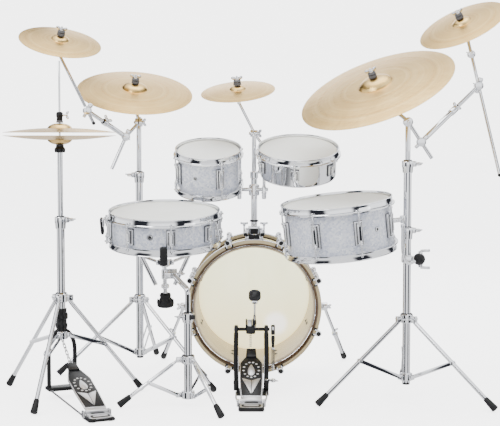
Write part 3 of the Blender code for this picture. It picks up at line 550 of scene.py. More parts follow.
studio = {
    "eye": (-0.014, -3.95, 0.84),
    "tilt": 3.64,
    "lens": 89.4,
    "floorSize": 60.0,
    "floorColour": (0.80, 0.80, 0.805),
    "floorGlow": 3.5,
    "backdropRadius": 40.0,
    "backdropGlow": 4.7,
    "skyTop": (0.95, 0.96, 0.98),
    "skyLow": (0.62, 0.62, 0.63),
    "skySide": (0.95, 0.96, 0.98),
    "skyDark": (0.012, 0.013, 0.017),
    "skyStrength": 2.3,
}


def softbox(name, place, aim, width, height, power):
    light = bpy.data.lights.new(name, "AREA")
    light.shape = "RECTANGLE"
    light.size, light.size_y, light.energy = width, height, power
    item = bpy.data.objects.new(name, light)
    item.location = place
    item.rotation_euler = (Vector(aim) - Vector(place)).to_track_quat("-Z", "Y").to_euler()
    bpy.context.scene.collection.objects.link(item)


def stageItem(name, shape, finish):
    # The camera sees the floor and the backdrop, while the metal mirrors only the sky around them.
    mesh = bpy.data.meshes.new(name)
    shape.to_mesh(mesh)
    shape.free()
    mesh.materials.append(finish.material)
    item = bpy.data.objects.new(name, mesh)
    item.visible_diffuse = item.visible_glossy = item.visible_shadow = False
    bpy.context.scene.collection.objects.link(item)


def setStudio(setting):
    lens = bpy.data.cameras.new("eye")
    lens.lens = setting["lens"]
    lens.clip_end = 200
    eye = bpy.data.objects.new("eye", lens)
    eye.location = setting["eye"]
    eye.rotation_euler = (math.radians(90 - setting["tilt"]), 0, 0)
    bpy.context.scene.collection.objects.link(eye)
    bpy.context.scene.camera = eye

    floor = Finish("paleFloor", {
        "Roughness": 0.7, "Specular IOR Level": 0.1,
        "Emission Color": (1, 1, 1, 1), "Emission Strength": setting["floorGlow"],
    })
    dust = floor.noise(floor.coordinates(), 3.0, 3.0)
    pale = setting["floorColour"]
    floor.set("Base Color", floor.mix(dust, pale, tuple(part * 0.99 for part in pale)))
    sheet = bmesh.new()
    bmesh.ops.create_grid(sheet, x_segments=2, y_segments=2, size=setting["floorSize"])
    stageItem("floor", sheet, floor)

    paper = Finish("paleBackdrop", {
        "Roughness": 1.0, "Specular IOR Level": 0.0,
        "Emission Color": (1, 1, 1, 1), "Emission Strength": setting["backdropGlow"],
    })
    grain = paper.noise(paper.coordinates(), 3.0, 3.0)
    paper.set("Base Color", paper.mix(grain, (0.0, 0.0, 0.0), (0.01, 0.01, 0.01)))
    dome = bmesh.new()
    bmesh.ops.create_uvsphere(dome, u_segments=48, v_segments=24, radius=setting["backdropRadius"])
    stageItem("backdrop", dome, paper)

    world = bpy.data.worlds.new("studio")
    world.use_nodes = True
    bpy.context.scene.world = world
    sky = Nodes(world.node_tree)
    x, y, z = sky.axes(sky.node("ShaderNodeTexCoord", {}, {}, "Generated"))
    # four dark upright panels at the corners, a bright ceiling and a grey floor for the metal to mirror
    corner = x * x * y * y / ((x * x + y * y) * (x * x + y * y) + 0.0001)
    panel = sky.above(corner, 0.165, 0.045) * (1 - sky.above(z.maths("ABSOLUTE", z), 0.62, 0.08))
    low, side, dark, high = (setting[name] for name in ("skyLow", "skySide", "skyDark", "skyTop"))
    stops = [(0.0, low), (0.42, low), (0.5, side), (0.66, side), (0.72, dark), (0.80, dark), (0.86, high)]
    rising = sky.ramp(z * 0.5 + 0.5, stops)
    back = world.node_tree.nodes["Background"]
    back.inputs["Strength"].default_value = setting["skyStrength"]
    world.node_tree.links.new(sky.mix(panel, rising, setting["skyDark"]).socket, back.inputs["Color"])

    softbox("keyBox", (-2.6, -3.0, 3.2), (0, 0, 0.5), 2.4, 1.6, 110)
    softbox("fillBox", (3.2, -2.4, 2.0), (0, 0, 0.5), 1.8, 2.2, 30)
    softbox("topBox", (0, 0.4, 4.2), (0, 0.2, 0), 3.2, 2.4, 80)
    softbox("backBox", (0.4, 3.6, 2.8), (0, 0, 0.5), 3.0, 1.4, 40)


setStudio(studio)
print("studio set")

# Bass drum

bass = {
    "centre": (0.0, 0.285, 0.27),
    "radius": 0.203,
    "half": 0.1525,
    "wall": 0.008,
    "hoopInner": 0.2088,
    "hoopOuter": 0.222,
    "hoopWidth": 0.038,
    "overlap": 0.0145,
    "rodRadius": 0.2295,
    "firstLug": 22.5,
    "lugs": 8,
    "steps": 128,
}
bassLie = Matrix.Translation(bass["centre"]) @ turn(90, "X")
bassFlip = bassLie @ turn(180, "X")
bassOut = bass["half"] + bass["overlap"]
bassAngles = [bass["firstLug"] + 360 / bass["lugs"] * count for count in range(bass["lugs"])]
pearlBig = pearlWrap("pearlWrapBass", 0.31)
innerPly = woodPly(
    "bassInnerPly", bassLie, bass["radius"], [
        (0.3, (0.54, 0.42, 0.27)), (0.55, (0.68, 0.56, 0.39)), (0.8, (0.80, 0.69, 0.52))
    ]
)


def bassShell(setting):
    radius, half, wall = setting["radius"], setting["half"], setting["wall"]
    skin = bmesh.new()
    hoopRing(skin, radius - 0.0008, radius, -half + 0.006, half - 0.006, bassLie, 0.0003, setting["steps"])
    piece("bassWrap", "kit_frame", pearlBig, skin)
    ply = bmesh.new()
    edge = [(radius - 0.0009, half - 0.004), (radius - 0.003, half), (radius - wall, half - 0.005)]
    edge += [(radius - wall, -half + 0.005), (radius - 0.003, -half), (radius - 0.0009, -half + 0.004)]
    lathe(ply, edge, bassLie, setting["steps"])
    piece("bassPly", "kit_frame", innerPly, ply, ["bass_shell"])

    screws = bmesh.new()
    for angle in bassAngles:
        for rise in (-0.030, 0.030):
            inside = bassLie @ spoke(angle, radius - wall, rise) @ turn(-90, "Y")
            bar(screws, (0, 0, 0), (0, 0, 0.0016), 0.0062, place=inside)
            orb(screws, (0, 0, 0.002), (0.0036, 0.0036, 0.0022), inside, 16)
    piece("bassLugScrews", "kit_frame", darkSteel, screws)

    lugs = bmesh.new()
    for angle in bassAngles:
        spot = bassLie @ spoke(angle)
        block(lugs, (0.0035, 0.020, 0.092), spot @ shift(radius + 0.0010, 0, 0), 0.0014)
        rodX = setting["rodRadius"]
        for rise in (-0.034, 0.034):
            side = 1 if rise > 0 else -1
            block(lugs, (rodX - radius, 0.013, 0.018), spot @ shift((rodX + radius) / 2, 0, rise), 0.003, 3)
            bar(
                lugs, (rodX, 0, rise - side * 0.016), (rodX, 0, rise + side * 0.012), 0.0078, place=spot,
                soften=0.0016,
            )
        bar(lugs, (rodX, 0, -0.030), (rodX, 0, 0.030), 0.0052, place=spot)
    for side in (-1, 1):
        mount = shift(side * radius, 0.35, 0.24)
        block(lugs, (0.010, 0.056, 0.050), mount @ shift(side * 0.006, 0, 0), 0.004, 3)
        block(lugs, (0.026, 0.034, 0.034), mount @ shift(side * 0.018, 0, 0), 0.006, 3)
        bar(lugs, (side * 0.020, 0, 0), (side * 0.033, 0, 0), 0.0165, 0.0150, mount, 32, 0.001)
        for y in (-0.022, 0.022):
            for z in (-0.018, 0.018):
                orb(lugs, (side * 0.0115, y, z), (0.002, 0.004, 0.004), mount, 12)
    piece("bassLugs", "kit_frame", chrome, lugs)


def bassHoop(setting, flip, hoop, name):
    # A wooden hoop with its pearl inlay, claws, tension rods, washers and drum-key bolts.
    inner, outer, width = setting["hoopInner"], setting["hoopOuter"], setting["hoopWidth"]
    wood = bmesh.new()
    hoopRing(wood, inner, outer, bassOut - width, bassOut, flip, 0.0012, setting["steps"])
    piece(f"{name}Wood", "kit_frame", hoopWood(f"{name}Maple", flip, inner), wood, [hoop])
    inlay = bmesh.new()
    hoopRing(
        inlay, outer - 0.0004, outer + 0.0005, bassOut - width + 0.002, bassOut - 0.0025, flip, 0.0002,
        setting["steps"],
    )
    piece(f"{name}Inlay", "kit_frame", pearlBig, inlay)

    metal, pads, bolts = bmesh.new(), bmesh.new(), bmesh.new()
    rodX = setting["rodRadius"]
    for angle in bassAngles:
        spot = flip @ spoke(angle)
        block(metal, (0.0034, 0.021, 0.030), spot @ shift(outer + 0.0024, 0, bassOut - 0.0125), 0.0014)
        block(metal, (0.0090, 0.013, 0.020), spot @ shift(outer + 0.006, 0, bassOut - 0.008), 0.0024, 3)
        bar(metal, (rodX, 0, bassOut - 0.020), (rodX, 0, bassOut + 0.0040), 0.0082, 0.0090, spot, 28, 0.0014)
        bar(metal, (rodX, 0, bassOut + 0.0035), (rodX, 0, bassOut + 0.0052), 0.0098, place=spot, sides=32)
        bar(metal, (rodX, 0, 0.040), (rodX, 0, bassOut), 0.0029, place=spot, sides=16)
        bar(bolts, (rodX, 0, bassOut + 0.0048), (rodX, 0, bassOut + 0.0148), 0.0074, 0.0068, spot, 28, 0.0018)
        for side in (-1, 1):
            prong = spot @ shift(0, side * 0.0078, 0)
            block(metal, (0.0120, 0.0050, 0.0026), prong @ shift(outer - 0.0020, 0, bassOut + 0.0024), 0.0010)
            block(
                pads, (0.0100, 0.0075, 0.0026),
                prong @ shift(outer - 0.0070, side * 0.0026, bassOut + 0.0013), 0.0008,
            )
    piece(f"{name}Claws", "kit_frame", chrome, metal)
    piece(f"{name}ClawPads", "kit_frame", softRubber, pads)
    piece(f"{name}Bolts", "kit_frame", powderBlack, bolts)


def stretchedHead(
    name, body, node, finish, radius, top, place, ringFinish, steps=96, drop=0.0085, raised=False
):
    # A film that bends down over the bearing edge into its flesh hoop, which may stand up past it.
    film = bmesh.new()
    crown, low = top + 0.0012, top - drop * 0.55
    profile = [(0, crown), (radius * 0.6, crown), (radius - 0.004, crown), (radius - 0.0008, crown - 0.0001)]
    profile += [(radius + 0.0018, crown - 0.0022), (radius + 0.0024, low), (radius + 0.0018, low)]
    profile += [(radius + 0.0012, crown - 0.0026), (radius - 0.002, crown - 0.0009), (0, crown - 0.0005)]
    lathe(film, profile, place, steps, closed=False)
    piece(name, body, finish, film, [node])
    ringShape = bmesh.new()
    hoopRing(ringShape, radius + 0.0012, radius + 0.0046, top - drop, top - drop * 0.35, place, 0.0006, steps)
    if raised:
        hoopRing(
            ringShape, radius + 0.0026, radius + 0.0054, top - drop * 0.4, top + 0.0050, place, 0.0006, steps
        )
    piece(f"{name}Ring", body, ringFinish, ringShape)


def tomBracket():
    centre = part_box("tom_bracket")
    x, y = (centre[0].x + centre[1].x) / 2, 0.300
    base = centre[0].z
    metal, dark = bmesh.new(), bmesh.new()
    bore, rim = 0.0112, 0.0190
    block(dark, (0.064, 0.054, 0.006), shift(x, y, base + 0.0035), 0.002)
    hoopRing(metal, bore, rim, base + 0.012, base + 0.050, shift(x, y, 0), 0.0016, 48)
    for side in (-1, 1):
        block(metal, (0.014, 0.046, 0.012), shift(x + side * 0.0235, y, base + 0.010), 0.003, 3)
        block(metal, (0.0105, 0.040, 0.036), shift(x + side * 0.0245, y, base + 0.027), 0.0035, 3)
        bar(
            metal, (x + side * 0.024, y, base + 0.028), (x + side * 0.037, y, base + 0.028), 0.0088,
            soften=0.0016,
        )
        block(dark, (0.0130, 0.008, 0.0110), shift(x + side * 0.0290, y - 0.0195, base + 0.0235), 0.0016)
        for z in (0.014, 0.042):
            orb(metal, (x + side * 0.0245, y - 0.020, base + z), (0.0026, 0.0016, 0.0026), sides=12)
        teeScrew(metal, shift(x + side * 0.034, y, base + 0.034), 0.026, 0.026)
    for rise, size in ((0.0125, 0.013), (0.046, 0.009)):
        block(metal, (0.040, 0.010, size), shift(x, y - 0.0178, base + rise), 0.002, 3)
        block(metal, (0.040, 0.010, size), shift(x, y + 0.0178, base + rise), 0.002, 3)
    block(dark, (0.025, 0.008, 0.018), shift(x, y - 0.0215, base + 0.0350), 0.0016)
    block(dark, (0.036, 0.014, 0.0150), shift(x, y - 0.0230, base + 0.0140), 0.0030, 3)
    piece("tomBracketMetal", "kit_frame", chrome, metal, ["tom_bracket"])
    piece("tomBracketRubber", "kit_frame", softRubber, dark)


def bassSpur(name, side):
    body = f"spur_{name}"
    pivot = Vector((side * 0.2475, 0.35, 0.24))
    foot = Vector((side * 0.337, 0.65, 0.011))
    knee = Vector((side * 0.252, 0.375, 0.221))
    middle = knee.lerp(foot, 0.62)
    along = (foot - knee).normalized()
    metal, dark = bmesh.new(), bmesh.new()
    bar(
        metal, pivot - Vector((side * 0.0100, 0, 0)), pivot + Vector((side * 0.0085, 0, 0)), 0.0140, sides=36,
        soften=0.0015,
    )
    wingNut(
        metal,
        Matrix.Translation(pivot + Vector((side * 0.0080, 0, 0))) @ turn(side * 90, "Y") @ turn(60, "Z"),
        0.017, 0.0058,
    )
    run(metal, [pivot, knee, middle], 0.0055, fillet=0.016)
    bar(metal, middle - along * 0.050, foot - along * 0.012, 0.0078)
    bar(metal, middle - along * 0.056, middle - along * 0.044, 0.0105, sides=28, soften=0.0012)
    wingNut(metal, Matrix.Translation(middle - along * 0.050 + Vector((0, 0, 0.010))), 0.011, 0.0042)
    bar(dark, foot - along * 0.034, foot - along * 0.006, 0.0090, 0.0108, sides=28, soften=0.002)
    orb(dark, foot, (0.0110, 0.0110, 0.0110))
    piece(f"{body}Metal", body, chrome, metal, [body])
    piece(f"{body}Foot", body, softRubber, dark)


# painted shade: the bass flesh hoops are coated dark brown so that they read as the shadow line between hoop and
# head
shadeDarkHoop = darkCoat("shadeDarkFleshHoop", (0.10, 0.050, 0.018), 0.35, 300.0, 0.0002)
bassShell(bass)
bassHoop(bass, bassLie, "bass_batter_hoop", "batterHoop")
bassHoop(bass, bassFlip, "bass_front_hoop", "frontHoop")
stretchedHead(
    "batterFilm", "kit_frame", "bass_batter_head", clearFilm("clearBatterFilm", bassLie, bass["radius"]),
    bass["radius"], bass["half"], bassLie, shadeDarkHoop, bass["steps"], raised=True,
)
stretchedHead(
    "frontFilm", "kit_frame", "bass_front_head", ivoryHead("ivoryFrontFilmPaintedLight", bassLie, bass["radius"]),
    bass["radius"], bass["half"], bassFlip, shadeDarkHoop, bass["steps"], raised=True,
)
tomBracket()
bassSpur("left", -1)
bassSpur("right", 1)
print("bass drum built")

# Bass drum pedal

pedal = {
    "x": -0.010,
    "hinge": (-0.010, -0.185, 0.024),
    "axle": (-0.010, 0.066, 0.205),
    "toe": (-0.010, 0.030, 0.140),
    "post": 0.049,
    "holes": 13,
    "reach": 0.183,
    "lean": 47.0,
}


def teardrop(points, centre, size):
    # A teardrop outline: round at the bottom, pointed at the top.
    outline = []
    for step in range(points):
        angle = fullTurn * step / points
        pinch = (1 - math.cos(angle)) / 2
        width = math.sin(angle) * (0.35 + 0.65 * (1 - pinch))
        outline.append((centre[0] + size[0] * width, centre[1] - size[1] * math.cos(angle)))
    return outline


def boardTop(black, silver, board, reach, pedalHoles):
    # The tread: black panel, silver rim, ring of oval holes, teardrop, V ridge, toe and heel hinge.
    outline = [(-0.033, 0.012), (0.033, 0.012), (0.0365, 0.10), (0.0365, 0.175), (0.0205, reach - 0.040)]
    outline += [(-0.0205, reach - 0.040), (-0.0365, 0.175), (-0.0365, 0.10)]
    slab(silver, outline, 0.0050, board @ shift(0, 0, 0.0035), 0.0008)
    panel = [(-0.0300, 0.016), (0.0300, 0.016), (0.0338, 0.101), (0.0338, 0.174), (0.0190, reach - 0.0425)]
    panel += [(-0.0190, reach - 0.0425), (-0.0338, 0.174), (-0.0338, 0.101)]
    slab(black, panel, 0.0034, board @ shift(0, 0, 0.0055), 0.0007)
    for count in range(pedalHoles):
        angle = fullTurn * (count + 0.5) / pedalHoles + math.pi / 2
        spot = board @ shift(0.0243 * math.cos(angle), 0.140 + 0.0370 * math.sin(angle), 0)
        bar(
            silver, (0, 0, 0.0055), (0, 0, 0.0078), 0.0042, place=spot @ Matrix.Diagonal((1.0, 0.72, 1, 1)),
            sides=20,
        )
    slab(silver, teardrop(32, (0, 0.138), (0.0155, 0.027)), 0.0026, board @ shift(0, 0, 0.0070), 0.0006)
    for side in (-1, 1):
        ridge = [(side * 0.0009, 0.022), (side * 0.0295, 0.098), (side * 0.0009, 0.086)]
        slab(silver, ridge if side > 0 else ridge[::-1], 0.0030, board @ shift(0, 0, 0.0072), 0.0004)
    slab(
        black,
        [(-0.0170, reach - 0.042), (0.0170, reach - 0.042), (0.0150, reach), (-0.0150, reach)],
        0.0110,
        board @ shift(0, 0, 0.0050),
        0.0016,
    )
    bar(silver, (-0.0350, 0, 0), (0.0350, 0, 0), 0.0056, place=board)
    block(silver, (0.064, 0.018, 0.0040), board @ shift(0, 0.009, 0.0030), 0.0010)


def heelTop(black, silver, slope):
    # The sloping silver plate of a heel casting, with its dark panel, bright bar and slot.
    slab(silver, roundedPanel(0.070, 0.060, 0.012), 0.0045, slope, 0.0012)
    slab(black, roundedPanel(0.060, 0.022, 0.008), 0.0020, slope @ shift(0, -0.0130, 0.0018), 0.0006)
    slab(silver, roundedPanel(0.046, 0.011, 0.005), 0.0020, slope @ shift(0, -0.0120, 0.0028), 0.0006)
    slab(black, roundedPanel(0.042, 0.008, 0.002), 0.0020, slope @ shift(0, 0.0125, 0.0018), 0.0004)


def rollerChain(name, top, bottom, count, instead=()):
    # Links between a fixed end and a moving one.
    links = bmesh.new()
    lie = (top - bottom).to_track_quat("Z", "X").to_matrix().to_4x4()
    pitch = (top - bottom).length / count
    for step in range(count):
        spot = Matrix.Translation(bottom.lerp(top, (step + 0.5) / count)) @ lie
        spread = 0.0034 if step % 2 else 0.0018
        for side in (-1, 1):
            plate = spot @ shift(0, side * spread, 0) @ turn(90, "X") @ turn(90, "Z")
            slab(links, roundedPanel(pitch * 1.45, 0.0052, 0.0024), 0.0008, plate, 0.0002)
        for end in (-0.5, 0.5):
            bar(links, (0, -0.0040, end * pitch), (0, 0.0040, end * pitch), 0.0013, place=spot, sides=12)
    chain = piece(name, None, steel, links, instead)
    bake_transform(chain)


def footPedal(setting):
    x, hinge, axle, toe = setting["x"], Vector(setting["hinge"]), Vector(setting["axle"]), Vector(
        setting["toe"]
    )
    black, silver = bmesh.new(), bmesh.new()
    rubber, bright = bmesh.new(), bmesh.new()
    # heel casting: a black foot with a silver top that slopes down to the back
    heel = shift(x, -0.206, 0)
    block(black, (0.080, 0.064, 0.010), heel @ shift(0, 0.002, 0.0060), 0.0040, 3)
    bar(black, (-0.026, -0.024, 0.0010), (-0.026, -0.024, 0.0130), 0.0120, place=heel, sides=32, soften=0.003)
    bar(black, (0.026, -0.024, 0.0010), (0.026, -0.024, 0.0130), 0.0120, place=heel, sides=32, soften=0.003)
    block(black, (0.052, 0.024, 0.0120), heel @ shift(0, -0.024, 0.0070), 0.0030, 3)
    slope = heel @ shift(0, 0.002, 0.0155) @ turn(9, "X")
    heelTop(black, silver, slope)
    for side in (-1, 1):
        block(silver, (0.008, 0.020, 0.022), shift(x + side * 0.0405, hinge.y, 0.0165), 0.0025, 3)
        bar(
            silver, (x + side * 0.0360, hinge.y, hinge.z), (x + side * 0.0460, hinge.y, hinge.z), 0.0042,
            sides=20,
        )
        run(
            silver,
            [(x + side * 0.032, -0.186, 0.005), (x + side * 0.049, -0.06, 0.005), (x + side * 0.049, 0.03, 0.005)],
            0.0029,
        )
    block(rubber, (0.074, 0.058, 0.0030), heel @ shift(0, 0, 0.0015), 0.0008)
    # base, posts and hoop clamp
    block(black, (0.105, 0.095, 0.0060), shift(x + 0.004, 0.0375, 0.0045), 0.0020)
    block(rubber, (0.098, 0.088, 0.0020), shift(x + 0.004, 0.0375, 0.0010), 0.0004)
    block(black, (0.070, 0.030, 0.0200), shift(x, 0.085, 0.0140), 0.0040, 3)
    block(black, (0.044, 0.014, 0.0300), shift(x, 0.094, 0.0270), 0.0030)
    block(black, (0.044, 0.053, 0.0070), shift(x, 0.1145, 0.0420), 0.0025)
    block(rubber, (0.036, 0.022, 0.0030), shift(x, 0.130, 0.0462), 0.0008)
    for side in (-1, 1):
        postX = x + side * setting["post"]
        block(black, (0.0170, 0.034, 0.034), shift(postX, axle.y, 0.0220), 0.0040, 3)
        block(black, (0.0125, 0.026, 0.030), shift(postX, axle.y, axle.z - 0.002), 0.0035, 3)
        run(
            black,
            [(postX, axle.y, 0.03), (postX + side * 0.0015, axle.y, 0.11), (postX, axle.y, axle.z - 0.012)],
            0.0076, fillet=0.05,
        )
        run(
            bright, [(x + side * 0.041, axle.y - 0.012, 0.008), (x + side * 0.0425, axle.y - 0.010, 0.120)],
            0.0012, fillet=0,
        )
        bar(bright, (postX, axle.y, axle.z), (postX + side * 0.0085, axle.y, axle.z), 0.0046, sides=20)
        nut(bright, shift(postX + side * 0.006, axle.y, 0.030) @ turn(side * 90, "Y"), 0.0050, 0.0040)
    wing = shift(x + 0.058, 0.052, 0.040) @ turn(90, "Y") @ turn(20, "X")
    bar(bright, (0, 0, -0.012), (0, 0, 0.016), 0.0042, place=wing, sides=16)
    wingNut(bright, wing @ shift(0, 0, 0.010) @ turn(75, "Z"), 0.019, 0.0072)
    piece("pedalFrame", "kit_frame", powderBlack, black, ["pedal_base"])
    piece("pedalFrameSilver", "kit_frame", steel, silver)
    piece("pedalFrameBright", "kit_frame", chrome, bright)
    piece("pedalFramePads", "kit_frame", softRubber, rubber)

    along = toe - hinge
    board = Matrix.Translation(hinge) @ turn(math.degrees(math.atan2(along.z, along.y)), "X")
    black, silver = bmesh.new(), bmesh.new()
    boardTop(black, silver, board, along.length, setting["holes"])
    piece("treadBlack", "pedal_footboard", powderBlack, black, ["pedal_footboard"])
    piece("treadSilver", "pedal_footboard", steel, silver)

    black, silver, bright = bmesh.new(), bmesh.new(), bmesh.new()
    bar(black, (x - 0.046, axle.y, axle.z), (x + 0.060, axle.y, axle.z), 0.0056, sides=6, soften=0.0008)
    block(black, (0.030, 0.032, 0.026), shift(x - 0.002, axle.y, axle.z - 0.001), 0.0045, 3)
    for side in (-1, 1):
        block(
            black, (0.0050, 0.020, 0.028), shift(x - 0.005 + side * 0.0110, axle.y - 0.003, axle.z + 0.020),
            0.0020,
        )
    block(
        silver, (0.0150, 0.010, 0.024), shift(x - 0.005, axle.y - 0.006, axle.z + 0.021) @ turn(-14, "X"),
        0.0030, 3,
    )
    block(black, (0.0090, 0.016, 0.050), shift(x + 0.011, axle.y - 0.002, axle.z + 0.022), 0.0026, 3)
    for rise in (0.008, 0.026):
        bar(
            bright, (x + 0.011, axle.y - 0.008, axle.z + rise), (x + 0.011, axle.y - 0.0125, axle.z + rise),
            0.0032, sides=16,
        )
    block(black, (0.0130, 0.018, 0.032), shift(x + 0.071, axle.y, axle.z - 0.002), 0.0030, 3)
    block(silver, (0.0080, 0.006, 0.0110), shift(x + 0.071, axle.y - 0.0080, axle.z + 0.004), 0.0012)
    piece("cam", "beater_axle", powderBlack, black, ["pedal_axle"])
    piece("camSilver", "beater_axle", steel, silver)
    piece("camScrews", "beater_axle", chrome, bright)

    lean = Matrix.Translation(axle + Vector((0.011, 0, 0))) @ turn(setting["lean"], "X")
    reach = setting["reach"]
    black, silver, cloth = bmesh.new(), bmesh.new(), bmesh.new()
    bar(silver, (0, 0, 0.014), (0, 0, reach - 0.012), 0.0031, place=lean, sides=20)
    block(silver, (0.0180, 0.009, 0.0120), lean @ shift(0, -0.0150, reach - 0.0075), 0.0016)
    block(silver, (0.0110, 0.010, 0.0130), lean @ shift(0, -0.0060, reach - 0.0190), 0.0016)
    bar(black, (0, 0, 0.030), (0, 0, 0.052), 0.0062, 0.0050, lean, 24, 0.0014)
    mallet = lean @ shift(0, 0, reach) @ Matrix.Diagonal((1, 1, 0.80, 1))
    bar(black, (0, -0.011, 0), (0, 0.008, 0), 0.0186, 0.0198, mallet, 40, 0.0050)
    bar(cloth, (0, 0.007, 0), (0, 0.018, 0), 0.0198, 0.0180, mallet, 40, 0.0050)
    piece("beaterRod", "beater_axle", chrome, silver, ["beater"])
    piece("beaterCore", "beater_axle", mouldedBlack, black)
    piece("beaterFelt", "beater_axle", blackFelt, cloth)

    low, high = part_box("pedal_chain")
    top = Vector((x - 0.002, axle.y - 0.004, high.z - 0.002))
    bottom = Vector((x - 0.002, toe.y + 0.010, low.z + 0.003))
    rollerChain("chainLinks", top, bottom, 7, ["pedal_chain"])

    low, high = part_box("pedal_spring")
    springX, springY = (low.x + high.x) / 2, (low.y + high.y) / 2
    wire, ends, cap = bmesh.new(), bmesh.new(), bmesh.new()
    turns, coilLow, coilHigh = 15, low.z + 0.022, high.z - 0.046
    coil = []
    for step in range(turns * 12 + 1):
        angle, rise = fullTurn * step / 12, step / (turns * 12)
        coil.append(
            (
                springX + 0.0050 * math.cos(angle), springY + 0.0050 * math.sin(angle),
                coilLow + (coilHigh - coilLow) * rise,
            )
        )
    run(wire, coil, 0.0011, fillet=0, roundness=1)
    piece("springCoil", "kit_frame", darkSteel, wire, ["pedal_spring"])
    bar(ends, (springX, springY, low.z + 0.001), (springX, springY, coilLow + 0.004), 0.0024, sides=16)
    nut(ends, shift(springX, springY, low.z + 0.004), 0.0058, 0.0050)
    nut(ends, shift(springX, springY, low.z + 0.014), 0.0058, 0.0040)
    bar(ends, (springX, springY, coilHigh), (springX, springY, coilHigh + 0.006), 0.0060, 0.0050)
    piece("springNuts", "kit_frame", chrome, ends)
    bar(
        cap, (springX, springY, coilHigh + 0.005), (springX, springY, high.z - 0.014), 0.0036, 0.0064,
        soften=0.001,
    )
    bar(
        cap, (springX, springY, high.z - 0.015), (springX, springY, high.z - 0.001), 0.0064, 0.0056,
        soften=0.002,
    )
    piece("springHook", "kit_frame", powderBlack, cap)


footPedal(pedal)
print("pedal built")

# Drums with steel hoops

snare = {
    "name": "snare",
    "body": "snare_basket",
    "centre": (-0.282, -0.0724, 0.5487),
    "pitch": 7.7,
    "roll": 0.0,
    "radius": 0.165,
    "half": 0.04775,
    "angles": [-124.5 + 45 * count for count in range(8)],
    "lugHeight": 0.046,
    "rodStart": 0.010,
    "shell": "snare_shell",
    "hoops": ["snare_batter_hoop", "snare_bottom_hoop"],
}
tom = {
    "name": "tom",
    "body": "tom",
    "centre": (-0.152, 0.204, 0.723),
    "pitch": 18.7,
    "roll": 0.0,
    "radius": 0.1016,
    "half": 0.066,
    "angles": [-157 + 90 * count for count in range(4)],
    "lugHeight": 0.066,
    "rodStart": 0.020,
    "shell": "tom_shell",
    "hoops": ["tom_hardware"],
}
timbale = {
    "name": "timbale",
    "body": "timbale",
    "centre": (0.1466, 0.196, 0.747),
    "pitch": 18.7,
    "roll": 0.0,
    "radius": 0.127,
    "half": 0.0445,
    "angles": [-97 + 60 * count for count in range(6)],
    "lugHeight": 0.034,
    "rodStart": 0.004,
    "shell": "timbale_shell",
    "hoops": ["timbale_hoop"],
}
sideSnare = {
    "name": "sideSnare",
    "body": "side_snare",
    "centre": (0.262, -0.092, 0.5535),
    "pitch": 5.0,
    "roll": 6.0,
    "radius": 0.165,
    "half": 0.075,
    "angles": [-118.5 + 45 * count for count in range(8)],
    "lugHeight": 0.070,
    "rodStart": 0.022,
    "shell": "side_snare_shell",
    "hoops": ["side_snare_hardware"],
}
hoopShape = {
    "inset": 0.0058, "band": 0.0020, "flange": 0.0150, "up": 0.0090, "down": 0.0135, "rodOffset": 0.0155
}


def placeOf(drum):
    return leaning(drum["centre"], drum["pitch"], drum["roll"])


def steelHoop(metal, drum, place, angles):
    # Pressed hoop: rolled top, band, flange, and an ear, washer and square-headed rod at each lug.
    radius, top = drum["radius"], drum["half"]
    inner = radius + hoopShape["inset"]
    band = inner + hoopShape["band"]
    flange = radius + hoopShape["flange"]
    high, low = top + hoopShape["up"], top - hoopShape["down"]
    profile = [(inner, low + 0.0018), (inner, high - 0.0012), (inner + 0.0004, high - 0.0003)]
    profile += [(band, high), (band + 0.0016, high - 0.0006), (band + 0.0019, high - 0.0018)]
    profile += [
        (band + 0.0012, high - 0.0028), (band, high - 0.0030), (band, low + 0.0050),
        (band + 0.0014, low + 0.0030),
    ]
    profile += [
        (flange - 0.0012, low + 0.0028), (flange, low + 0.0020), (flange, low - 0.0012),
        (flange - 0.0012, low - 0.0014),
    ]
    profile += [(flange - 0.0018, low + 0.0002), (inner + 0.0012, low)]
    lathe(metal, profile, place, 96)
    rodX = radius + hoopShape["rodOffset"]
    for angle in angles:
        spot = place @ spoke(angle)
        block(metal, (0.0125, 0.0200, 0.0032), spot @ shift(rodX - 0.0030, 0, low + 0.0026), 0.0014)
        bar(
            metal, (rodX, 0, low + 0.0008), (rodX, 0, low + 0.0044), 0.0074, place=spot, sides=24,
            soften=0.0010,
        )
        bar(metal, (rodX, 0, low + 0.0042), (rodX, 0, low + 0.0056), 0.0058, place=spot, sides=20)
        block(metal, (0.0052, 0.0052, 0.0062), spot @ shift(rodX, 0, low + 0.0085) @ turn(45, "Z"), 0.0010)
        bar(metal, (rodX, 0, drum["rodStart"]), (rodX, 0, low + 0.0020), 0.0026, place=spot, sides=12)


def boxLug(metal, dark, spot, radius, height, depth=0.0180):
    # Cast lug: a frame round a dark window, a bright key in it, and a swivel-nut boss at each end.
    face = radius + depth
    block(dark, (0.0018, 0.0290, height + 0.005), spot @ shift(radius + 0.0009, 0, 0), 0.0006)
    block(metal, (0.0070, 0.0262, height + 0.002), spot @ shift(radius + 0.0048, 0, 0), 0.0022, 3)
    block(dark, (0.0020, 0.0205, height - 0.0050), spot @ shift(radius + 0.0080, 0, 0), 0.0006)
    block(metal, (0.0080, 0.0140, height - 0.0110), spot @ shift(radius + 0.0105, 0, 0), 0.0026, 3)
    for side in (-1, 1):
        rise = side * (height / 2 - 0.0045)
        block(metal, (depth - 0.003, 0.0125, 0.0090), spot @ shift(radius + depth / 2, 0, rise), 0.0026, 3)
        bar(
            metal, (face - 0.0030, 0, rise), (face - 0.0030, 0, side * (height / 2 + 0.0022)), 0.0054,
            place=spot, sides=20, soften=0.0008,
        )


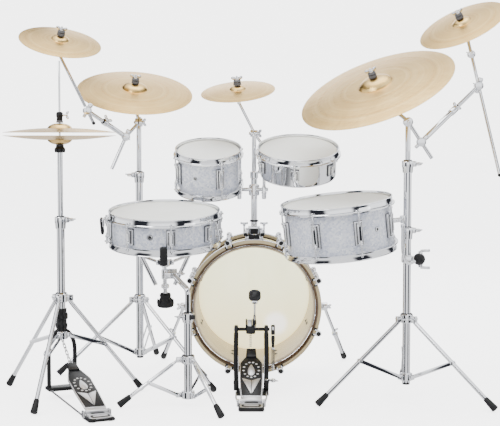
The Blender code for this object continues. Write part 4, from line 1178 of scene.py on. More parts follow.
def roundDrum(drum, shellFinish, plyFinish, wall, bottom=True):
    place, radius, half, name, body = placeOf(drum), drum["radius"], drum["half"], drum["name"], drum["body"]
    skin = bmesh.new()
    hoopRing(skin, radius - 0.0009, radius, -half + 0.005, half - 0.005, place, 0.0003, 96)
    piece(f"{name}Skin", body, shellFinish, skin, [drum["shell"]])
    ply = bmesh.new()
    edge = [(radius - 0.0010, half - 0.004), (radius - 0.0022, half - 0.0002), (radius - wall, half - 0.004)]
    edge += [
        (radius - wall, -half + 0.004), (radius - 0.0022, -half + 0.0002), (radius - 0.0010, -half + 0.004)
    ]
    lathe(ply, edge, place, 96)
    piece(f"{name}Ply", body, plyFinish, ply)
    metal, dark = bmesh.new(), bmesh.new()
    steelHoop(metal, drum, place, drum["angles"])
    if bottom:
        steelHoop(metal, drum, place @ turn(180, "X"), [-angle for angle in drum["angles"]])
    piece(f"{name}Hoops", body, chrome, metal, drum["hoops"])
    metal = bmesh.new()
    for angle in drum["angles"]:
        boxLug(metal, dark, place @ spoke(angle), radius, drum["lugHeight"])
    piece(f"{name}Lugs", body, chrome, metal)
    piece(f"{name}LugWindows", body, darkSteel, dark)


def grommet(name, body, spot, size=0.0088):
    metal, dark = bmesh.new(), bmesh.new()
    hoopRing(metal, size * 0.50, size * 0.92, 0.0004, 0.0030, spot, 0.0010, 32)
    piece(f"{name}Vent", body, chrome, metal)
    hoopRing(dark, size * 0.88, size * 1.06, 0.0002, 0.0010, spot, 0.0002, 32)
    # painted shade: a dark lining and a dark disc stand in for the shade inside the vent hole, which is not cut
    # through the shell
    hoopRing(dark, size * 0.40, size * 0.54, 0.0002, 0.0032, spot, 0.0002, 32)
    bar(dark, (0, 0, 0.0002), (0, 0, 0.0008), size * 0.3, place=spot)
    piece(f"{name}VentGasketAndHoleShade", body, mouldedBlack, dark)


def maplePly(drum):
    tones = [(0.3, (0.55, 0.38, 0.22)), (0.55, (0.69, 0.52, 0.33)), (0.8, (0.78, 0.63, 0.44))]
    return woodPly(f"{drum['name']}Maple", placeOf(drum), drum["radius"], tones)


def topHead(drum, node, name):
    place, radius = placeOf(drum), drum["radius"]
    finish = coatedHead(f"{name}Coat", place, radius)
    stretchedHead(name, drum["body"], node, finish, radius, drum["half"], place, steel, 96, 0.009)


def underHead(drum):
    # The clear lower head of a drum whose head is one solid with its shell.
    top, radius = drum["half"], drum["radius"]
    under = bmesh.new()
    profile = [(0, top + 0.0010), (radius - 0.002, top + 0.0010), (radius + 0.0035, top - 0.001)]
    profile += [(radius + 0.0030, top - 0.005), (radius + 0.0012, top - 0.002)]
    profile += [(radius - 0.002, top + 0.0004), (0, top + 0.0004)]
    lathe(under, profile, placeOf(drum) @ turn(180, "X"), 96, closed=False)
    film = clearFilm(f"{drum['name']}ClearFilm", placeOf(drum), radius)
    piece(f"{drum['name']}BottomHead", drum["body"], film, under)


def snareWires(drum):
    place, half = placeOf(drum) @ turn(168, "Z"), drum["half"]
    wires, clips = bmesh.new(), bmesh.new()
    strands, turns = 16, 46
    for strand in range(strands):
        y = -0.0195 + 0.039 * strand / (strands - 1)
        coil = []
        for step in range(turns * 4 + 1):
            angle = fullTurn * step / 4
            x = -0.128 + 0.256 * step / (turns * 4)
            coil.append((x, y + 0.0008 * math.cos(angle), -half - 0.0036 + 0.0008 * math.sin(angle)))
        run(wires, coil, 0.0003, place, 0, 0)
    for side in (-1, 1):
        block(clips, (0.020, 0.044, 0.0014), place @ shift(side * 0.136, 0, -half - 0.0036), 0.0005)
    piece("snareWireStrands", "snare_basket", steel, wires, ["snare_wires"])
    piece("snareWireClips", "snare_basket", chrome, clips)


def strainer(drum):
    place = placeOf(drum) @ spoke(168, drum["radius"])
    metal, black = bmesh.new(), bmesh.new()
    block(black, (0.0030, 0.036, 0.060), place @ shift(0.0018, 0, 0), 0.0012)
    block(metal, (0.0034, 0.030, 0.052), place @ shift(0.0036, 0, 0), 0.0012)
    block(metal, (0.0150, 0.026, 0.022), place @ shift(0.0100, 0, 0.0140), 0.0040, 3)
    block(metal, (0.0120, 0.022, 0.018), place @ shift(0.0085, 0, -0.0120), 0.0035, 3)
    block(metal, (0.0090, 0.013, 0.012), place @ shift(0.0245, 0, 0.0160), 0.0030, 3)
    bar(metal, (0.012, 0, -0.016), (0.012, 0, -0.036), 0.0042, place=place, sides=18)
    block(metal, (0.0050, 0.026, 0.020), place @ shift(0.0120, 0, -0.0400), 0.0010)
    bar(black, (0.012, 0, -0.0235), (0.012, 0, -0.0300), 0.0068, place=place, sides=18)
    piece("strainerBody", "snare_basket", chrome, metal, ["snare_strainer"])
    piece("strainerKnob", "snare_basket", mouldedBlack, black)
    metal, black = bmesh.new(), bmesh.new()
    bar(metal, (0.036, -0.0125, 0.016), (0.036, 0.0125, 0.016), 0.0048, place=place, sides=20)
    block(metal, (0.0030, 0.018, 0.026), place @ shift(0.0352, 0, 0.0070), 0.0010)
    leaf = place @ shift(0.0400, 0, -0.0050) @ turn(4, "Y")
    slab(black, roundedPanel(0.056, 0.024, 0.0110), 0.0052, leaf @ turn(90, "Y"), 0.0018)
    piece("strainerLeverPin", "strainer_lever", chrome, metal)
    piece("strainerLeverGrip", "strainer_lever", mouldedBlack, black, ["strainer_lever"])
    butt = placeOf(drum) @ spoke(-12, drum["radius"])
    metal = bmesh.new()
    block(metal, (0.0030, 0.030, 0.040), butt @ shift(0.0018, 0, -0.004), 0.0012)
    block(metal, (0.0130, 0.024, 0.016), butt @ shift(0.0085, 0, -0.008), 0.0035, 3)
    block(metal, (0.0050, 0.026, 0.012), butt @ shift(0.0140, 0, -0.026), 0.0010)
    for side in (-1, 1):
        bar(metal, (0.014, side * 0.007, -0.020), (0.014, side * 0.007, -0.010), 0.0022, place=butt, sides=12)
    piece("buttPlate", "snare_basket", chrome, metal)


pearlSmall = pearlWrap("pearlWrapDrums", 0.07)
roundDrum(snare, pearlSmall, maplePly(snare), 0.006)
topHead(snare, "snare_batter_head", "snareTopHead")
bottomFilm = clearFilm("clearBottomFilm", placeOf(snare), snare["radius"])
stretchedHead(
    "snareBottomHead", "snare_basket", "snare_bottom_head", bottomFilm,
    snare["radius"], snare["half"], placeOf(snare) @ turn(180, "X"), steel, 96, 0.009,
)
grommet(
    "snare", "snare_basket", placeOf(snare) @ spoke(-101.5, snare["radius"] - 0.0002, 0.002) @ turn(90, "Y")
)
snareWires(snare)
strainer(snare)
print("snare drum built")

roundDrum(tom, pearlSmall, maplePly(tom), 0.006)
topHead(tom, "tom_batter_head", "tomTopHead")
roundDrum(timbale, chrome, brightMetal("timbaleInside", (0.80, 0.81, 0.83), 0.10), 0.003, bottom=False)
topHead(timbale, "timbale_head", "timbaleTopHead")
roundDrum(sideSnare, pearlSmall, maplePly(sideSnare), 0.006)
topHead(sideSnare, "side_snare_head", "sideSnareTopHead")
underHead(tom)
underHead(sideSnare)
grommet("tom", "tom", placeOf(tom) @ spoke(-114, tom["radius"] - 0.0002, 0.0) @ turn(90, "Y"), 0.0065)
grommet(
    "sideSnare", "side_snare",
    placeOf(sideSnare) @ spoke(-50, sideSnare["radius"] - 0.0002, 0.0) @ turn(90, "Y"), 0.0075,
)


tomHolder = {
    "post": (0.0, 0.30),
    "rodY": 0.289,
    "pivotHeight": 0.722,
    "tomRodX": -0.0505,
    "timbaleRodX": 0.034,
    "knuckle": 0.0064,
}


def tomBrackets(holder):
    # The clamps on the drums that grip the post's L-rods.
    tiltY, tiltZ = holder["rodY"], holder["pivotHeight"]
    metal = bmesh.new()
    near = holder["tomRodX"] - holder["knuckle"]
    bar(metal, (-0.075, tiltY, tiltZ), (near, tiltY, tiltZ), 0.0105, sides=32, soften=0.0015)
    block(metal, (0.008, 0.040, 0.050), placeOf(tom) @ spoke(50, tom["radius"] + 0.003), 0.003, 3)
    block(metal, (0.030, 0.022, 0.026), shift(-0.083, tiltY - 0.004, tiltZ), 0.006, 3)
    wingNut(metal, shift(-0.075, tiltY + 0.009, tiltZ) @ turn(-90, "X"), 0.013)
    piece("tomMount", "tom", chrome, metal)
    metal = bmesh.new()
    start = holder["timbaleRodX"] + holder["knuckle"]
    bar(metal, (start, tiltY, tiltZ), (0.058, tiltY, tiltZ), 0.0105, sides=32, soften=0.0015)
    block(metal, (0.014, 0.020, 0.056), shift(0.0545, tiltY - 0.004, tiltZ + 0.020), 0.004, 3)
    block(metal, (0.020, 0.026, 0.020), shift(0.056, tiltY - 0.004, tiltZ + 0.030), 0.005, 3)
    wingNut(metal, shift(0.054, tiltY + 0.008, tiltZ + 0.036) @ turn(-90, "X"), 0.012)
    piece("timbaleMount", "timbale", chrome, metal)


def sideSnareMount():
    place, radius = placeOf(sideSnare), sideSnare["radius"]
    metal = bmesh.new()
    block(metal, (0.006, 0.040, 0.056), place @ shift(radius + 0.0025, 0, 0), 0.0025, 3)
    block(metal, (0.040, 0.0125, 0.0150), place @ shift(radius + 0.020, 0, 0), 0.004, 3)
    bar(
        metal, (radius + 0.036, 0, -0.0115), (radius + 0.036, 0, 0.0125), 0.0085, place=place, sides=28,
        soften=0.0014,
    )
    wingNut(metal, place @ shift(radius + 0.026, -0.0060, 0) @ turn(90, "X"), 0.012)
    piece("sideSnareMount", "side_snare", chrome, metal)


tomBrackets(tomHolder)
sideSnareMount()
print("toms and side snare built")

# Snare stand and basket

snareStand = {
    "foot": (-0.2055, -0.15, 0.0),
    "legAngles": (190, 300, 70),
    "collar": 0.145,
    "hub": 0.035,
    "clamp": 0.27,
    "pivot": 0.030,
    "reach": 0.215,
    "armAngles": (273, 33, 153),
    "basketHub": -0.1147,
    "tiltCentre": -0.150,
    "lowerTube": 0.0125,
    "upperTube": 0.0085,
}


def snareStandBase(setting):
    place = Matrix.Translation(setting["foot"])
    collar, hub, clamp = setting["collar"], setting["hub"], setting["clamp"]
    bore, lower = setting["upperTube"] + 0.0006, setting["lowerTube"]
    metal, black = bmesh.new(), bmesh.new()
    hoopRing(metal, bore, lower, 0.022, clamp, place, 0.0006, 36)
    hoopRing(metal, bore, 0.0165, clamp - 0.010, clamp + 0.002, place, 0.0014, 36)
    hoopRing(metal, bore, 0.0190, clamp - 0.004, clamp + 0.020, place, 0.0020, 36)
    hoopRing(metal, bore, 0.0205, hub - 0.011, hub + 0.011, place, 0.0016, 36)
    for angle in setting["legAngles"]:
        for side in (-1, 1):
            block(
                metal, (0.020, 0.0032, 0.014), place @ spoke(angle, 0.028, hub) @ shift(0, side * 0.0044, 0),
                0.001,
            )
        bar(
            metal, (setting["pivot"], -0.0068, hub), (setting["pivot"], 0.0118, hub), 0.0030,
            place=place @ turn(angle, "Z"), sides=14,
        )
    wing = place @ turn(200, "Z") @ shift(0.019, 0, clamp + 0.008) @ turn(90, "Y")
    bar(metal, (0, 0, -0.003), (0, 0, 0.012), 0.0052, place=wing)
    wingNut(metal, wing @ shift(0, 0, 0.008) @ turn(90, "Z"), 0.016)
    block(black, (0.020, 0.020, 0.014), place @ shift(0.0135, -0.009, clamp + 0.008), 0.003, 3)
    hoopRing(black, bore - 0.0002, bore + 0.0040, clamp + 0.019, clamp + 0.0225, place, 0.0006, 36)
    piece("standTube", "kit_frame", chrome, metal, ["snare_stand_tube"])
    piece("standTubeInsert", "kit_frame", mouldedBlack, black)

    metal, black = bmesh.new(), bmesh.new()
    hoopRing(metal, lower + 0.0006, 0.0205, collar - 0.012, collar + 0.012, place, 0.0016, 36)
    hoopRing(black, lower + 0.0005, 0.0185, collar + 0.0115, collar + 0.0145, place, 0.0006, 36)
    for angle in setting["legAngles"]:
        for side in (-1, 1):
            block(
                metal, (0.018, 0.0030, 0.016),
                place @ spoke(angle, 0.0275, collar) @ shift(0, side * 0.0060, 0), 0.001,
            )
        bar(
            metal, (setting["pivot"], -0.0085, collar), (setting["pivot"], 0.0085, collar), 0.0032,
            place=place @ turn(angle, "Z"), sides=14,
        )
    wing = place @ turn(250, "Z") @ shift(0.020, 0, collar) @ turn(90, "Y")
    wingNut(metal, wing, 0.013)
    piece("legCollar", "snare_stand_collar", chrome, metal, ["snare_stand_collar"])
    piece("legCollarSleeve", "snare_stand_collar", mouldedBlack, black)

    for number, angle in enumerate(setting["legAngles"], 1):
        out = place @ turn(angle, "Z")
        top, tip = Vector((setting["pivot"], 0, collar)), Vector((setting["reach"], 0, 0.0093))
        along = (tip - top).normalized()
        metal, rubber = bmesh.new(), bmesh.new()
        bar(metal, (top.x, -0.0040, top.z), (top.x, 0.0040, top.z), 0.0078, place=out, sides=24)
        bar(metal, top, top + along * 0.030, 0.0036, 0.0056, out, 18)
        bar(metal, top + along * 0.022, tip - along * 0.02, 0.0059, place=out, sides=24)
        legFoot(rubber, tip, along, out)
        body = f"snare_stand_leg_{number}"
        piece(f"leg{number}Tube", body, chrome, metal, [body])
        piece(f"leg{number}Foot", body, softRubber, rubber)
        joint, low = top.lerp(tip, 0.5), Vector((setting["pivot"], 0, hub))
        metal = bmesh.new()
        strap, length = flatLink(metal, low, joint, out, 0.0086, 0.012, (0.0115, 0.0055), 0.0028, 0.0005)
        for end in (-1, 1):
            orb(metal, (end * length / 2, 0, 0.0018), (0.0040, 0.0040, 0.0020), strap, 16)
            orb(metal, (end * length / 2, 0, -0.0018), (0.0040, 0.0040, 0.0020), strap, 16)
        body = f"snare_stand_strut_{number}"
        piece(f"strut{number}", body, chrome, metal, [body])


def upperArm(setting):
    tilt = placeOf(snare) @ Vector((0, 0, setting["tiltCentre"]))
    discX = tilt.x + 0.0204
    base = Vector(setting["foot"])
    metal, dark = bmesh.new(), bmesh.new()
    path = [(base.x, base.y, 0.205), (base.x, base.y, 0.352), (base.x - 0.004, base.y + 0.006, 0.365)]
    path += [(discX + 0.012, tilt.y - 0.024, tilt.z - 0.006), (discX + 0.010, tilt.y - 0.008, tilt.z)]
    run(metal, path, setting["upperTube"], fillet=0.022, roundness=6)
    bar(metal, (discX, tilt.y, tilt.z), (discX + 0.0172, tilt.y, tilt.z), 0.0160, sides=40, soften=0.0014)
    bar(metal, (discX + 0.016, tilt.y, tilt.z), (discX + 0.034, tilt.y, tilt.z), 0.0040, sides=16)
    wingNut(metal, shift(discX + 0.0290, tilt.y, tilt.z) @ turn(90, "Y") @ turn(90, "Z"), 0.016, 0.0060)
    teeth(dark, discX, tilt)
    block(dark, (0.0070, 0.0020, 0.060), shift(base.x + 0.0005, base.y - 0.0080, 0.318), 0.0006)
    piece("upperTube", "snare_stand_upper", chrome, metal, ["snare_stand_upper_tube"])
    piece("upperTubeMark", "snare_stand_upper", mouldedBlack, dark)


def teeth(shape, discX, tilt):
    for step in range(28):
        angle = fullTurn * step / 28
        spot = shift(discX + 0.0006, tilt.y, tilt.z) @ turn(math.degrees(angle), "X")
        block(shape, (0.0016, 0.0016, 0.0050), spot @ shift(0, 0, 0.0132), 0.0002, 1)


def basket(setting):
    place = placeOf(snare)
    hub = setting["basketHub"]
    metal, dark = bmesh.new(), bmesh.new()
    hoopRing(metal, 0.0050, 0.0165, hub - 0.010, hub + 0.010, place, 0.0018, 36)
    bar(metal, (0, 0, hub), (0, 0, -0.252), 0.0054, place=place, sides=20)
    thread(metal, place, (0.0045, 0.0060), -0.2510, 0.0030, 0.0014, 24, 0.0004, 20)
    bar(metal, (0, 0, -0.166), (0, 0, -0.136), 0.0112, place=place, sides=28, soften=0.0016)
    tilt = place @ Vector((0, 0, setting["tiltCentre"]))
    bar(metal, tilt, tilt + Vector((0.0190, 0, 0)), 0.0160, sides=40, soften=0.0012)
    teeth(dark, tilt.x + 0.0180, tilt)
    for angle in setting["armAngles"]:
        for side in (-1, 1):
            block(
                metal, (0.016, 0.0040, 0.016), place @ spoke(angle, 0.020, hub) @ shift(0, side * 0.0072, 0),
                0.0014,
            )
        bar(
            metal, (0.024, -0.0100, hub), (0.024, 0.0100, hub), 0.0030, place=place @ turn(angle, "Z"),
            sides=14,
        )
    piece("basketHub", "snare_basket", chrome, metal, ["basket_tilter"])
    piece("basketRatchet", "snare_basket", darkSteel, dark)
    for number, angle in enumerate(setting["armAngles"], 1):
        out = place @ turn(angle, "Z")
        metal, rubber = bmesh.new(), bmesh.new()
        pivot, elbow, seat = Vector((0.024, 0, hub)), Vector((0.150, 0, -0.088)), Vector((0.182, 0, -0.0690))
        bar(metal, (0.024, -0.0045, hub), (0.024, 0.0045, hub), 0.0075, place=out, sides=24)
        run(metal, [pivot, elbow, seat], 0.0048, out, 0.012)
        block(metal, (0.026, 0.0120, 0.0060), out @ shift(0.181, 0, -0.0655), 0.0016)
        top, low = Vector((0.086, 0, -0.1030)), Vector((0.036, 0, -0.188))
        for side in (-1, 1):
            flatLink(metal, top, low, out, side * 0.0056, 0.008, (0.0078, 0.0038), 0.0018, 0.0004)
        for end in (top, low):
            bar(
                metal, end + Vector((0, -0.0072, 0)), end + Vector((0, 0.0072, 0)), 0.0028, place=out,
                sides=14,
            )
        bar(rubber, (0.1935, 0, -0.076), (0.1935, 0, -0.020), 0.0119, 0.0112, out, 32, 0.0040)
        for rise in (-0.066, -0.058, -0.050):
            hoopRing(rubber, 0.0100, 0.0122, rise, rise + 0.003, out @ shift(0.1935, 0, 0), 0.0008, 32)
        block(rubber, (0.020, 0.0150, 0.0050), out @ shift(0.183, 0, -0.0615), 0.0018)
        body = f"basket_arm_{number}"
        piece(f"basketArm{number}Metal", body, chrome, metal, [body])
        piece(f"basketArm{number}Grip", body, softRubber, rubber)
    black, metal = bmesh.new(), bmesh.new()
    profile = [
        (0.0065, -0.212), (0.0115, -0.212), (0.0150, -0.2135), (0.0178, -0.217), (0.0180, -0.222),
        (0.0168, -0.227),
    ]
    profile += [
        (0.0190, -0.232), (0.0226, -0.239), (0.0256, -0.246), (0.0264, -0.251), (0.0254, -0.255),
        (0.0230, -0.2565),
    ]
    lathe(black, profile + [(0.0065, -0.2565)], place, 48)
    for count in range(8):
        spot = place @ spoke(count * 45, 0.0235, -0.243)
        orb(black, (0, 0, 0), (0.0038, 0.0050, 0.0120), spot, 16)
    hoopRing(metal, 0.0064, 0.0100, -0.2126, -0.2105, place, 0.0005, 32)
    hoopRing(metal, 0.0056, 0.0125, -0.196, -0.184, place, 0.0016, 32)
    piece("basketKnobGrip", "basket_knob", softRubber, black, ["basket_knob"])
    piece("basketKnobWasher", "basket_knob", chrome, metal)


snareStandBase(snareStand)
upperArm(snareStand)
basket(snareStand)
print("snare stand built")

# Cymbals and what holds them

cymbalSet = {
    "splash_cymbal": {"radius": 0.127, "centre": (-0.055, 0.30, 0.985), "pitch": 18.0, "roll": 5.0},
    "crash_cymbal": {"radius": 0.203, "centre": (-0.4195, 0.44, 0.987), "pitch": 23.0, "roll": -6.0},
    "small_crash_cymbal": {"radius": 0.140, "centre": (-0.660, 0.300, 1.152), "pitch": 23.0, "roll": -12.0},
    "ride_cymbal": {"radius": 0.254, "centre": (0.389, 0.0, 0.982), "pitch": 22.0, "roll": 22.4},
    "right_crash_cymbal": {"radius": 0.152, "centre": (0.700, 0.25, 1.205), "pitch": 22.0, "roll": 27.0},
}


def cymbalShape(radius, place, thickness=0.0013, hole=0.0064):
    # Bell, bow and a thinning edge, as one turned sheet.
    bell, bow, bellRise = radius * 0.22, radius * 0.075, radius * 0.085
    top = []
    for step in range(9):
        t = step / 8
        reach = hole + (bell - hole) * t
        top.append((reach, bow + bellRise * (1 - (reach / bell) ** 2.6) ** 0.72 if reach < bell else bow))
    for step in range(1, 15):
        t = step / 14
        top.append((bell + (radius - bell) * t, bow * (1 - t ** 1.6)))
    sheet = bmesh.new()
    count = len(top)
    under = []
    for index, (reach, height) in enumerate(top):
        under.append((reach, height - thickness * (1.0 - 0.45 * index / count)))
    lathe(sheet, top + under[::-1], place, 128)
    return sheet


def wearCymbal(node, setting, name):
    place = leaning(setting["centre"], setting["pitch"], setting["roll"])
    finish = bronze(f"{name}Bronze", place, node == "ride_cymbal")
    piece(name, node, finish, cymbalShape(setting["radius"], place), [node])


def cymbalSeat(metal, felt, rubber, place, radius):
    # Tilter stem, lower cup and felt, sleeve, upper felt and wing nut.
    bellTop = radius * 0.160
    under = bellTop - 0.0016
    bar(metal, (0, 0, -0.045), (0, 0, bellTop + 0.034), 0.0030, place=place, sides=16)
    thread(metal, place, (0.0024, 0.0034), bellTop + 0.014, 0.0020, 0.0010, 10, 0.0003, 14)
    bar(metal, (0, 0, -0.045), (0, 0, under - 0.011), 0.0058, place=place, sides=24, soften=0.0010)
    bar(metal, (0, 0, under - 0.0125), (0, 0, under - 0.0100), 0.0110, place=place, sides=28)
    bar(felt, (0, 0, under - 0.0100), (0, 0, under - 0.0025), 0.0105, 0.0092, place, 28, 0.0014)
    bar(rubber, (0, 0, under - 0.004), (0, 0, bellTop + 0.004), 0.0046, place=place, sides=20)
    bar(felt, (0, 0, bellTop + 0.0022), (0, 0, bellTop + 0.0120), 0.0138, 0.0130, place, 28, 0.0016)
    bar(metal, (0, 0, bellTop + 0.0120), (0, 0, bellTop + 0.0134), 0.0092, place=place, sides=28)
    wingNut(metal, place @ shift(0, 0, bellTop + 0.0180), 0.0175, 0.0068)
    hoopRing(felt, 0.0060, 0.0128, bellTop + 0.0134, bellTop + 0.0182, place, 0.0014, 28)


def seatOf(metal, felt, rubber, node):
    setting = cymbalSet[node]
    cymbalSeat(
        metal, felt, rubber, leaning(setting["centre"], setting["pitch"], setting["roll"]), setting["radius"]
    )


def cymbalPoint(node, drop):
    setting = cymbalSet[node]
    return leaning(setting["centre"], setting["pitch"], setting["roll"]) @ Vector((0, 0, drop))


for node, setting in cymbalSet.items():
    wearCymbal(node, setting, node.replace("_cymbal", "").replace("_c", "C") + "Plate")
print("cymbals turned")


def tilter(metal, dark, point, axis="Y", size=0.0150):
    # Two ratchet discs on one pin, with a wing nut.
    lie = Matrix.Translation(point) @ (turn(-90, "X") if axis == "Y" else turn(90, "Y"))
    bar(metal, (0, 0, -0.0130), (0, 0, -0.0008), size, place=lie, sides=36, soften=0.0014)
    bar(metal, (0, 0, 0.0008), (0, 0, 0.0130), size, place=lie, sides=36, soften=0.0014)
    bar(dark, (0, 0, -0.0010), (0, 0, 0.0010), size * 0.93, place=lie, sides=36, soften=0.0002)
    bar(metal, (0, 0, -0.0180), (0, 0, 0.0170), 0.0040, place=lie, sides=16)
    wingNut(metal, lie @ shift(0, 0, 0.0130) @ turn(35, "Z"), 0.0150, 0.0056)
    nut(metal, lie @ shift(0, 0, -0.0165), 0.0062, 0.0040)


def rodClamp(metal, dark, point, turned=0.0):
    # A boom clamp: two jaws round the rod, a pin and a wing nut.
    lie = Matrix.Translation(point) @ turn(turned, "Y")
    for side in (-1, 1):
        bar(metal, (0, side * 0.0010, 0), (0, side * 0.0160, 0), 0.0150, 0.0140, lie, 36, 0.0016)
    block(metal, (0.0110, 0.0120, 0.0520), lie, 0.0030, 3)
    block(metal, (0.0160, 0.0180, 0.0150), lie @ shift(0, 0, 0.0200), 0.0035, 3)
    bar(dark, (0, -0.0011, 0), (0, 0.0011, 0), 0.0142, place=lie, sides=36, soften=0.0002)
    wingNut(metal, lie @ shift(0, 0.0160, 0) @ turn(-90, "X") @ turn(20, "Z"), 0.0160, 0.0060)


def boomTube(metal, dark, start, end):
    # The short boom arm: a thick tube that grips a thinner one, with a wing screw at its lip.
    bar(metal, start, end, 0.0068, sides=28)
    bar(metal, start.lerp(end, 0.08), start.lerp(end, 0.56), 0.0086, sides=32, soften=0.0012)
    bar(metal, start.lerp(end, 0.50), start.lerp(end, 0.60), 0.0112, sides=32, soften=0.0020)
    bar(dark, start.lerp(end, 0.595), start.lerp(end, 0.615), 0.0096, sides=28, soften=0.0008)
    wingNut(
        metal, Matrix.Translation(start.lerp(end, 0.55) + Vector((0.006, -0.004, 0.008))) @ turn(40, "Y"),
        0.0150, 0.0056,
    )


def heightJoint(metal, dark, foot, height, bore, wingAngle, outer=0.0185):
    # Cast collar that grips the upper tube: flared body, nylon lip, hinge bolt and wing screw.
    place = Matrix.Translation((foot[0], foot[1], 0))
    profile = [
        (bore, height - 0.022), (0.0150, height - 0.022), (0.0160, height - 0.020), (0.0168, height - 0.006)
    ]
    profile += [
        (outer, height - 0.002), (outer, height + 0.014), (outer - 0.0012, height + 0.016),
        (bore, height + 0.016),
    ]
    lathe(metal, profile, place, 40)
    hoopRing(dark, bore, bore + 0.0042, height + 0.0155, height + 0.0190, place, 0.0006, 36)
    side = place @ turn(wingAngle, "Z") @ shift(0, 0, height + 0.006)
    block(metal, (0.0160, 0.0160, 0.0180), side @ shift(0.0200, 0, 0), 0.0035, 3)
    bar(metal, (0.0270, 0, 0), (0.0340, 0, 0), 0.0052, place=side, sides=20)
    wingNut(metal, side @ shift(0.0320, 0, 0) @ turn(90, "Y") @ turn(80, "Z"), 0.0180, 0.0062)
    nut(metal, side @ shift(0.0200, -0.0080, 0) @ turn(90, "X"), 0.0048, 0.0036)


def tripodLegs(metal, rubber, dark, setting):
    # Bent legs from a sliding collar, flat struts to the hub, rivets and rubber boots.
    angles, reach, bore = setting["legAngles"], setting["legReach"], setting["bore"]
    collar, hub = setting["collar"], setting["hub"]
    place = shift(setting["foot"][0], setting["foot"][1], 0)
    hoopRing(metal, bore, 0.0205, collar - 0.014, collar + 0.014, place, 0.0020, 40)
    hoopRing(metal, bore, 0.0195, hub - 0.012, hub + 0.012, place, 0.0020, 40)
    hoopRing(dark, bore, 0.0175, collar + 0.0135, collar + 0.0165, place, 0.0006, 40)
    for angle in angles:
        out = place @ turn(angle, "Z")
        top = Vector((0.018, 0, collar))
        slope = math.atan2(reach - top.x, collar)
        tip = Vector((reach, 0, 0.0115 * math.sin(slope)))
        along = (tip - top).normalized()
        block(metal, (0.0240, 0.0130, 0.0200), out @ shift(0.0260, 0, collar - 0.001), 0.0030, 3)
        run(metal, [top + Vector((0.004, 0, 0)), top + along * 0.020, tip - along * 0.02], 0.0066, out, 0.012)
        legFoot(rubber, tip, along, out, 0.0114)
        joint, low = top.lerp(tip, 0.5), Vector((0.022, 0, hub))
        for side in (-1, 1):
            flatLink(metal, low, joint, out, side * 0.0082, 0.012, (0.0120, 0.0055), 0.0022, 0.0004)
        block(metal, (0.0180, 0.0136, 0.0160), out @ shift(0.0190, 0, hub), 0.0025, 3)
        for spot in (joint, low, Vector((0.033, 0, collar))):
            bar(
                metal, spot + Vector((0, -0.0105, 0)), spot + Vector((0, 0.0105, 0)), 0.0032, place=out,
                sides=16,
            )
    wing = place @ turn(angles[0] + 62, "Z") @ shift(0.019, 0, collar) @ turn(90, "Y")
    bar(metal, (0, 0, 0), (0, 0, 0.008), 0.0060, place=wing)
    wingNut(metal, wing @ shift(0, 0, 0.006) @ turn(90, "Z"), 0.0150, 0.0056)


def standTube(metal, rubber, dark, setting):
    # The lower tube on its tripod, with a cap below and a height joint on top.
    x, y = setting["foot"]
    hoopRing(metal, setting["bore"], 0.0125, 0.050, setting["top"], shift(x, y, 0), 0.0008, 40)
    bar(dark, (x, y, 0.0440), (x, y, 0.0520), 0.0120, sides=28, soften=0.002)
    tripodLegs(metal, rubber, dark, setting)
    heightJoint(metal, dark, (x, y), setting["top"], setting["bore"], setting["wing"])


def boomArm(metal, dark, start, end, startTurn, endTurn):
    boomTube(metal, dark, start, end)
    rodClamp(metal, dark, start, startTurn)
    rodClamp(metal, dark, end, endTurn)


def finishStand(name, body, metal, dark, instead, felt=None, rubber=None):
    piece(f"{name}Metal", body, chrome, metal, [instead])
    piece(f"{name}Dark", body, mouldedBlack, dark)
    if felt:
        piece(f"{name}Felts", body, greyFelt, felt)
    if rubber:
        piece(f"{name}Rubber", body, softRubber, rubber)


def tomPost(holder):
    x, y = holder["post"]
    rodY, pivot = holder["rodY"], holder["pivotHeight"]
    metal, dark, felt, rubber = bmesh.new(), bmesh.new(), bmesh.new(), bmesh.new()
    bar(metal, (x, y, 0.4795), (x, y, 0.70), 0.0105, sides=36, soften=0.0012)
    hoopRing(metal, 0.0070, 0.0135, 0.688, 0.712, shift(x, y, 0), 0.0020, 36)
    bar(metal, (x, y, 0.70), (x, y, 0.842), 0.0075, sides=28)
    hoopRing(metal, 0.0100, 0.0180, 0.630, 0.668, shift(x, y, 0), 0.0030, 40)
    wingNut(metal, shift(x, y + 0.0170, 0.649) @ turn(-90, "X"), 0.0170, 0.0060)
    bar(metal, (-0.056, y - 0.010, 0.651), (0.048, y - 0.010, 0.651), 0.0065, sides=24)
    hoopRing(dark, 0.0103, 0.0150, 0.5400, 0.5460, shift(x, y, 0), 0.0008, 36)
    for hang in (holder["tomRodX"], holder["timbaleRodX"]):
        block(metal, (0.0150, 0.0260, 0.0440), shift(hang, y - 0.013, 0.6400), 0.0040, 3)
        block(metal, (0.0120, 0.0220, 0.0180), shift(hang, y - 0.013, 0.6560), 0.0030, 3)
        wingNut(metal, shift(hang, y - 0.0260, 0.640) @ turn(90, "X"), 0.0110, 0.0048)
        bar(metal, (hang, rodY, 0.650), (hang, rodY, pivot), 0.0052, sides=20)
        bar(
            metal, (hang - 0.0058, rodY, pivot), (hang + 0.0058, rodY, pivot), 0.0092, sides=28, soften=0.0012
        )
    tilter(metal, dark, Vector((x, y + 0.004, 0.842)), "X", 0.0120)
    foot = cymbalPoint("splash_cymbal", -0.040)
    run(metal, [(x + 0.028, y + 0.012, 0.803), (x, y + 0.012, 0.845), foot], 0.0047, fillet=0.01)
    seatOf(metal, felt, rubber, "splash_cymbal")
    finishStand("tomPost", "tom_post", metal, dark, "tom_post", felt, rubber)


